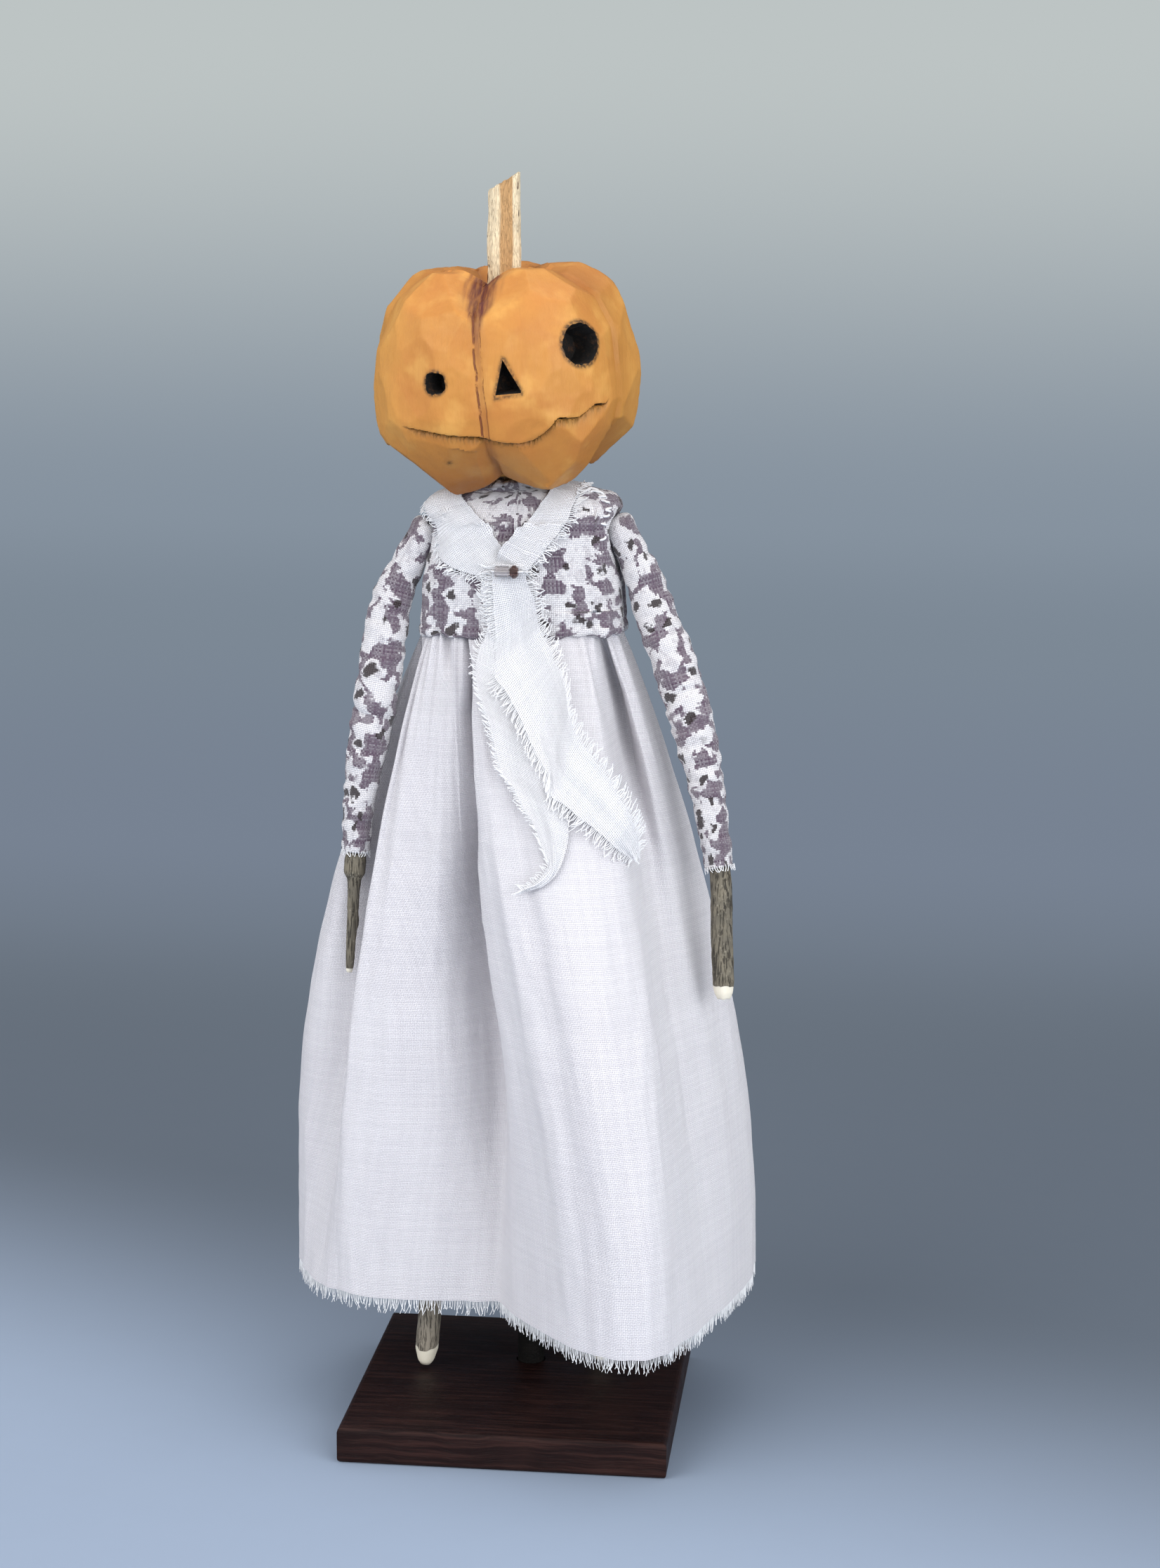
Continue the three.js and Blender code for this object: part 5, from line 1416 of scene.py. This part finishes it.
def skirt_place(u, v, inset=0.0):
    """A place on the skirt's outside from its way round and its share of the length, in millimetres."""
    at = u * len(FOLD_LINES)
    lines = fold_places(np.maximum(v, 0))
    plan = round_curve(lines, at)
    along = unit(round_curve(lines, at + 0.02) - plan)
    ring = np.column_stack([np.cos(u * ROUND) * 9, np.sin(u * ROUND) * 9, v * 3.2])
    pleats = np.sin(at * 6.4 + 1.2 * np.sin(at * 1.7)) * 0.55 + np.sin(at * 11.3 + 2.0 * np.sin(at * 0.9)) * 0.3
    pleats *= np.exp(-v / 0.09) * (0.75 + 0.5 * wavy(ring, 0.8, 51))
    drape = wavy(ring * (0.55, 0.55, 0.5), 1.0, 52) * 1.3 * smooth_step(v, 0.03, 0.4)
    drape += wavy(ring * (1.3, 1.3, 0.9), 1.0, 53) * 0.5 * smooth_step(v, 0.02, 0.25) * smooth_step(v, 1.5, 0.5)
    crumple = wavy(ring * (2.2, 2.2, 5.0), 1.0, 54) * 0.28 * smooth_step(v, 0.02, 0.2)
    z = SKIRT_TOP - v * SKIRT_LENGTH
    facing = smooth_step(-plan[:, 1], 1, 7)
    backwards = front_folds(plan[:, 0] + DOLL_AT[0], z + DOLL_AT[2])
    offset = np.clip(pleats + drape + crumple - creases(at, v), -4.5, 1.35) - 0.35 - inset
    plan = plan + np.column_stack([along[:, 1], -along[:, 0]]) * offset[:, None]
    plan[:, 1] += backwards * facing
    hem_wave = wavy(ring * (0.8, 0.8, 0), 1.0, 55) * 0.5 * smooth_step(v, 0.7, 1)
    return np.column_stack([plan, z + hem_wave]) + DOLL_AT


class GatherSkirt(bpy.types.Operator):
    """Makes the long muslin skirt, gathered under the bodice, and the frayed threads of its hem"""

    bl_idname = "doll.gather_skirt"
    bl_label = "Skirt"

    def execute(self, context):
        columns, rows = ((408, 108))
        levels = np.concatenate([np.linspace(-0.004, 0.2, rows // 3)[:-1], np.linspace(0.2, 1, rows - rows // 3 + 2)])
        around = np.linspace(0, 1, columns + 1)
        runs = [run_of(skirt_place(around, np.full(columns + 1, max(level, 0.0)))) for level in levels]
        lengths = np.array([run - run[int(columns * 0.36)] for run in runs])

        def place(u, v):
            return skirt_place(u, levels[nth(v, rows)])

        def cloth(u, v):
            return lengths[nth(v, rows), nth(u, columns)], levels[nth(v, rows)] * 168

        piece = shaped_grid("muslin_skirt", "muslin", columns, rows, place, cloth)
        thicken(piece, 0.4, -1.0)
        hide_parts("skirt")
        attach(piece, "stand")

        around = np.linspace(0, 1, 900)
        rim, above = [skirt_place(around, np.full(900, share), 0.2) for share in (1.0, 0.985)]
        lines = fringe_lines(rim, unit(rim - above), None, random.Random(SEED + 20), 0.34, 3.1, curl=0.35)
        fringe = strands("skirt_hem_threads", "thread", lines, 0.085)
        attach(fringe, "stand")
        return {"FINISHED"}


def thicken(piece, thickness, offset):
    with_modifier(piece, "SOLIDIFY", thickness=thickness * MM, offset=offset, use_even_offset=False)
    crease_over(piece, 60)


# ---------------------------------------------------------------- scarf

# Rows of the neck strip from its end under the bead over the left shoulder, round the back and down to the bead:
# places of its inner and its outer edge
NECK_STRIP = np.array([
    ((-2.5, -6.0, 215.0), (-6.6, -6.2, 211.6)), ((-4.9, -6.0, 219.6), (-12.4, -5.2, 212.6)),
    ((-7.2, -5.6, 222.6), (-15.6, -5.0, 213.3)), ((-9.2, -5.0, 225.2), (-19.4, -4.6, 215.0)),
    ((-12.2, -4.0, 228.2), (-23.4, -3.6, 217.4)), ((-14.2, -1.6, 229.8), (-23.8, -0.8, 223.4)),
    ((-15.0, 2.4, 230.9), (-24.6, 3.6, 226.8)), ((-14.2, 7.6, 232.4), (-23.4, 11.0, 228.6)),
    ((-11.6, 14.0, 233.2), (-20.4, 21.5, 226.2)), ((-6.4, 18.6, 233.6), (-10.6, 25.6, 221.0)),
    ((-1.4, 20.0, 233.4), (-1.4, 26.0, 219.6)), ((3.6, 18.4, 233.6), (8.4, 25.4, 222.0)),
    ((7.0, 12.8, 234.0), (12.4, 19.6, 229.6)), ((7.4, 7.0, 233.4), (12.4, 8.6, 231.6)),
    ((6.6, 2.4, 232.8), (12.6, 2.6, 231.4)), ((4.4, -1.8, 230.4), (11.4, -1.6, 228.8)),
    ((2.6, -4.4, 228.4), (10.4, -4.4, 225.2)), ((0.9, -5.4, 226.2), (8.3, -5.2, 222.4)),
    ((-2.2, -6.0, 222.8), (4.8, -6.0, 218.2)), ((-4.9, -6.4, 219.6), (1.8, -6.4, 214.4)),
    ((-6.6, -6.6, 216.4), (-0.2, -6.6, 211.6))])
# X and height of each tail's left and right edges, from the bead down
UNDER_TAIL = (
    [(-7.6, 213.2), (-9.1, 211.9), (-8.5, 199.1), (-10.4, 194), (-10.6, 189.1), (-9.2, 184.5), (-7.1, 179.7),
     (-5, 173.3), (-3.4, 168.4), (0.1, 164.1), (2.6, 159.9), (5.1, 156.5), (6.9, 153.4), (8.2, 150.4), (9.4, 147.6),
     (6.4, 143.2), (3, 141.1)],
    [(-2, 213.2), (-1, 208), (1, 196), (4, 187), (7, 180), (9.4, 174), (11.2, 169), (12.2, 165), (12.8, 161.5),
     (13.3, 158.6), (13.6, 156.1), (13.7, 152.7), (13.2, 149.8), (12.4, 147.2), (11.4, 145.2), (8.4, 142.4),
     (3.6, 140.6)])
OVER_TAIL = (
    [(-7.4, 215.4), (-7.2, 211), (-6.8, 204.2), (-6.3, 196.1), (-7.2, 190), (-3.8, 186.4), (0.6, 180.1), (5.4, 171.4),
     (8.5, 166.6), (9.3, 162.5), (12.4, 160.6), (15.8, 158.0), (19.0, 155.8), (22.0, 153.4), (24.8, 150.6),
     (27.0, 148.6), (28.6, 147.4)],
    [(0.2, 215.4), (1.2, 211.1), (3, 207), (3.6, 203), (4.4, 200), (6.6, 196.2), (8.9, 191.4), (11.3, 186.6),
     (12.4, 181.2), (15.6, 174.9), (19.1, 170.8), (22.2, 167), (25, 162.6), (27.2, 159.3), (28.6, 156.2), (29.6, 152.6),
     (30.0, 149.0)])


def tail_edge(points, at):
    """A smooth line through an edge's places, each of them at its own share of their number."""
    points = np.array([(x, 0, z) for x, z in points], float)
    run = run_of(points)
    return smooth_line(points, np.interp(at, np.linspace(0, 1, len(points)), run / run[-1]))


def between(left, right, columns):
    return left[:, None] + (right - left)[:, None] * np.linspace(0, 1, columns + 1)[None, :, None]


def averaged(grid):
    """The average of each place's four neighbours."""
    padded = np.pad(grid, [(1, 1), (1, 1)] + [(0, 0)] * (grid.ndim - 2), mode="edge")
    return (padded[:-2, 1:-1] + padded[2:, 1:-1] + padded[1:-1, :-2] + padded[1:-1, 2:]) / 4


def stiff(depth, grid, axis):
    """Brings places forward until neighbours' depths differ by no more than 0.6 of their distance."""
    depth, flat = np.moveaxis(depth, axis, 0), np.moveaxis(grid[:, :, ::2], axis, 0)
    reach = 0.6 * size_of(np.diff(flat, axis=0))
    for k in range(1, len(depth)):
        depth[k] = np.minimum(depth[k], depth[k - 1] + reach[k - 1])
    for k in range(len(depth) - 2, -1, -1):
        depth[k] = np.minimum(depth[k], depth[k + 1] + reach[k])
    return np.moveaxis(depth, 0, axis)


def drape(grid, surface, lifts):
    """Moves a grid of places to just over a surface and relaxes it."""
    for turn in range(6):
        if turn:
            grid[1:-1, 1:-1] = averaged(grid)[1:-1, 1:-1]
        for spot, high in zip(grid.reshape(-1, 3), lifts.ravel()):
            near, way, _, _ = surface.find_nearest(Vector(spot))
            if turn == 0 or (Vector(spot) - near).dot(way) < high:
                spot[:] = near + way * high
    return grid


def laid_grid(name, grid, weave):
    """A thin sheet of scarf muslin through a grid of places. weave(row, column) is each one's place on the cloth."""
    rows, columns = grid.shape[0] - 1, grid.shape[1] - 1
    piece = shaped_grid(name, "scarf", columns, rows, lambda u, v: grid[nth(v, rows), nth(u, columns)],
                        lambda u, v: weave(nth(v, rows), nth(u, columns)), closed=False)
    away = corners_of(piece) - DOLL_AT
    away[:, 2] = np.maximum(away[:, 2] - 25, 0)
    if np.sum(corner_normals(piece) * away) < 0:
        piece.data.flip_normals()
    thicken(piece, 0.28, 0.0)
    return piece


class DrapeScarf(bpy.types.Operator):
    """Lays the muslin scarf over the shoulders and lets its two tails hang down the skirt"""

    bl_idname = "doll.drape_scarf"
    bl_label = "Scarf"

    def execute(self, context):
        body = [bpy.data.objects[name] for name in ("printed_bodice", "muslin_skirt", "left_printed_sleeve")]
        self.fine = 0.45
        self.grids = {}
        under = surface_of(body)
        neck = self.neck_strip(under)
        lower = self.tail("scarf_under_tail", UNDER_TAIL, under, 1.1, 0.3)
        upper = self.tail("scarf_over_tail", OVER_TAIL, under, 1.8, 0.35)
        pieces = [(neck, (0.013, 0.118), "draped", None), (lower, (0.017, 0.088), "hung", 0.00105),
                  (upper, (0.016, 0.092), "hung", 0.00096)]
        fringes = self.fringes(under, surface_of(body + [neck, lower]))
        for fringe in fringes:
            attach(fringe, "stand")
        for (piece, flat, held, area), fringe in zip(pieces, fringes):
            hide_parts("scarf")
            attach(piece, "stand")
        return {"FINISHED"}

    def neck_strip(self, surface):
        rows, columns = int(118 / self.fine), int(12.5 / self.fine)
        at, over = np.linspace(0, 1, rows + 1)[:, None], np.linspace(0, 1, columns + 1)
        inner, outer = [smooth_line(NECK_STRIP[:, k], at[:, 0]) for k in (0, 1)]
        lifts = (0.55 + 1.3 * smooth_step(at, 0.86, 0.92) - 1.5 * smooth_step(at, 0.975, 1.0)
                 + 0.45 * bell(over / 0.12) + 0.3 * np.sin(at * 55) * (0.2 + over * 0.3))
        grid = self.grids["neck"] = drape(between(inner, outer, columns), surface, np.maximum(lifts, 0.45))
        along, wide = run_of(grid[:, columns // 2]), size_of(outer - inner)
        return laid_grid("scarf_neck_strip", grid, lambda r, c: (c / columns * wide[r], along[r]))

    def tail(self, name, edges, surface, high, wave):
        """A tail that hangs high millimetres in front of what lies behind it, bridging its folds."""
        rows, columns = int(78 / self.fine), int(13 / self.fine)
        at, over = np.linspace(0, 1, rows + 1)[:, None], np.linspace(0, 1, columns + 1)
        left, right = [tail_edge(edge, at[:, 0]) for edge in edges]
        grid = self.grids[name] = between(left, right, columns)
        hits = [surface.ray_cast(Vector((x, -150, z)), Vector((0, 1, 0)))[0] for x, _, z in grid.reshape(-1, 3)]
        depth = np.array([hit.y if hit is not None else np.nan for hit in hits]).reshape(grid.shape[:2])
        depth = np.where(np.isnan(depth), np.nanmin(depth), depth)
        depth = stiff(stiff(depth, grid, 0), grid, 1)
        taut = depth
        for _ in range(120):
            taut = np.minimum(averaged(taut), depth)
        ripple = np.sin(over * 7 + at * 5) * 0.5 + np.sin(over * 13 - at * 9) * 0.25
        grid[:, :, 1] = taut - high - np.maximum(ripple + 0.4, 0) * wave * 2.2 * smooth_step(at, 0.02, 0.2)
        wide, down = size_of(right - left), run_of((left + right) / 2)
        return laid_grid(name, grid, lambda r, c: ((c / columns - 0.5) * wide[r] + 50, down[r] + 40))

    def fringes(self, under, over):
        chance = random.Random(SEED + 30)

        def threads(name, radius, *edges):
            lines = []
            for edge, inside, surface, pitch, reach, shape in edges:
                lines += fringe_lines(edge, unit(edge - inside), surface, chance, pitch, reach, **shape)
            return strands(name, "thread", lines, radius)

        neck, lower, upper = self.grids["neck"], self.grids["scarf_under_tail"], self.grids["scarf_over_tail"]
        long = {"lift": 0.5, "curl": 0.6}
        return [
            threads("scarf_neck_threads", 0.12, (neck[:, -1], neck[:, -4], over, 0.5, 2.4, {})),
            threads("scarf_under_tail_threads", 0.11, (lower[:, 0], lower[:, 3], under, 0.5, 1.7, {"curl": 0.8}),
                    (lower[-1], lower[-4], under, 0.4, 2.0, {})),
            threads("scarf_over_tail_threads", 0.11, (upper[:, 0], upper[:, 3], over, 0.4, 2.9, long),
                    (upper[:, -1], upper[:, -4], over, 0.42, 2.8, long), (upper[-1], upper[-4], under, 0.4, 1.6, {})),
        ]


# ---------------------------------------------------------------- stage and frame

class MakeStage(bpy.types.Operator):
    """Makes the floor, the backdrop, the lights and the camera"""

    bl_idname = "doll.make_stage"
    bl_label = "Stage"

    def execute(self, context):
        make_materials()
        stage_floor(context.scene.doll_stage)
        stage_lights()
        stage_camera()
        return {"FINISHED"}


def stage_floor(stage):
    """A long sheet of paper that turns up far behind the doll. Far away it glows for the camera only, whatever lights
    it, with painted light and shading: darker at middle distance, paler further back and high up.
    """
    bpy.ops.object.select_all(action="DESELECT")
    bpy.ops.mesh.primitive_plane_add(size=1)
    floor = bpy.context.object
    floor.name = "floor"
    side_view = [(-3.0, 0.0), (-0.4, 0.0), (0.3, 0.0), (0.6, 0.0)]
    side_view += [(2.3 + 0.1 * math.sin(a), 0.1 - 0.1 * math.cos(a)) for a in np.linspace(0, math.pi / 2, 12)]
    side_view.append((2.4, 2.6))
    floor.data.clear_geometry()
    floor.data.from_pydata([(x, y, z) for y, z in side_view for x in (-4.0, 4.0)], [],
                           [(k, k + 1, k + 3, k + 2) for k in range(0, 2 * len(side_view) - 2, 2)])
    floor.data.shade_smooth()

    g = new_material("Studio paper", 1.0, Specular_IOR_Level=0.0)
    place = g.place()
    x, y, z = g.split(place)
    # Painted shading on the paper near the doll: darker towards the back and the right
    ground = g.mix(g.span(y * -1.0 + x * -0.4, -140.0, 90.0), stage.far_floor_shading, stage.floor)
    paper = g.mix(g.noise(place, 0.09) * 0.04, ground, (0.2, 0.2, 0.22))
    # Painted light and shading that glows for the camera: darker at middle distance, paler further back and high up the
    # backdrop
    far = g.layers(linear("68727d"), (g.span(y, 300.0, 700.0), "778292"), (g.span(y, 700.0, 1500.0), "7c8895"),
                   (g.span(y, 1400.0, 2400.0), stage.low_backdrop_shading), (g.span(z, -20.0, 480.0), stage.high_backdrop_light))
    shown = g.value("LightPath", None, "Is Camera Ray") * g.span(y, 220.0, 520.0)
    g.feed(g.shader.inputs["Emission Color"], far)
    g.feed(g.shader.inputs["Emission Strength"], shown)
    floor.data.materials.append(g.finish(g.mix(1.0 - shown, (0.0, 0.0, 0.0), paper)))


def stage_lights():
    for name, place, target, size, power, tone in (
            ("window", (-0.92, -0.98, 0.86), (0, 0, 0.16), 1.2, 13.1, (0.99, 0.985, 0.975)),
            ("fill", (1.08, -1.16, 0.45), (0, 0, 0.12), 1.4, 22.5, (0.95, 0.975, 1.0)),
            ("top", (0.35, 0.1, 1.3), (0, 0, 0.1), 1.0, 3.5, (1, 1, 1))):
        data = bpy.data.lights.new(name, "AREA")
        data.shape = "RECTANGLE"
        data.size = data.size_y = size
        data.energy, data.color = power, tone
        lamp = bpy.data.objects.new(name, data)
        bpy.context.scene.collection.objects.link(lamp)
        lamp.location = place
        lamp.rotation_euler = (Vector(target) - Vector(place)).to_track_quat("-Z", "Y").to_euler()
    world = bpy.data.worlds.new("Soft room")
    bpy.context.scene.world = world
    world.use_nodes = True
    background = world.node_tree.nodes["Background"]
    background.inputs["Color"].default_value = (0.83, 0.84, 0.87, 1)
    background.inputs["Strength"].default_value = 0.92


def stage_camera():
    data = bpy.data.cameras.new("camera")
    data.sensor_width, data.lens = 36.0, 69.05
    camera = bpy.data.objects.new("camera", data)
    scene = bpy.context.scene
    scene.collection.objects.link(camera)
    yaw, pitch, roll = math.radians(6.16), math.radians(-10.58), math.radians(0.42)
    camera.matrix_world = (
        Matrix.Translation((0.091, -0.716, 0.296)) @ Matrix.Rotation(yaw, 4, "Z")
        @ Matrix.Rotation(math.pi / 2 + pitch, 4, "X") @ Matrix.Rotation(roll, 4, "Z"))
    scene.camera = camera
    scene.view_settings.view_transform = "Standard"


class FinishFrame(bpy.types.Operator):
    """Gives the frame's own parts their woods, metal, glass and thread"""

    bl_idname = "doll.finish_frame"
    bl_label = "Frame finishes"

    def execute(self, context):
        for node, finish in CAD_FINISHES.items():
            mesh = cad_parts[node].data
            mesh.materials.clear()
            mesh.materials.append(MATERIALS[finish])
        return {"FINISHED"}


# ---------------------------------------------------------------- panel

SETTINGS = {
    "doll_head": HeadSettings,
    "doll_cloth": ClothSettings,
    "doll_wood": WoodSettings,
    "doll_stage": StageSettings,
}
OPERATORS = [MakeStage, FinishFrame, CarveHead, SplitStem, SewBodice, StuffSleeves, CutTwigs, GatherSkirt,
             DrapeScarf]


class DollPanel(bpy.types.Panel):
    """Lists the doll's pieces and their sizes and colours"""

    bl_idname = "VIEW3D_PT_doll"
    bl_label = "Pumpkin head doll"
    bl_space_type = "VIEW_3D"
    bl_region_type = "UI"
    bl_category = "Doll"

    def draw(self, context):
        for name, kind in SETTINGS.items():
            group = getattr(context.scene, name)
            for key in kind.__annotations__:
                self.layout.prop(group, key)
        for operator in OPERATORS:
            self.layout.operator(operator.bl_idname)


def register():
    for kind in [*SETTINGS.values(), *OPERATORS, DollPanel]:
        bpy.utils.register_class(kind)
    for name, kind in SETTINGS.items():
        setattr(bpy.types.Scene, name, bpy.props.PointerProperty(type=kind))


def unregister():
    for name in SETTINGS:
        delattr(bpy.types.Scene, name)
    for kind in [DollPanel, *reversed(OPERATORS), *SETTINGS.values()]:
        bpy.utils.unregister_class(kind)


def main():
    register()
    for operator in OPERATORS:
        section, name = operator.bl_idname.split(".")
        getattr(getattr(bpy.ops, section), name)()


if __name__ == "__main__":
    main()
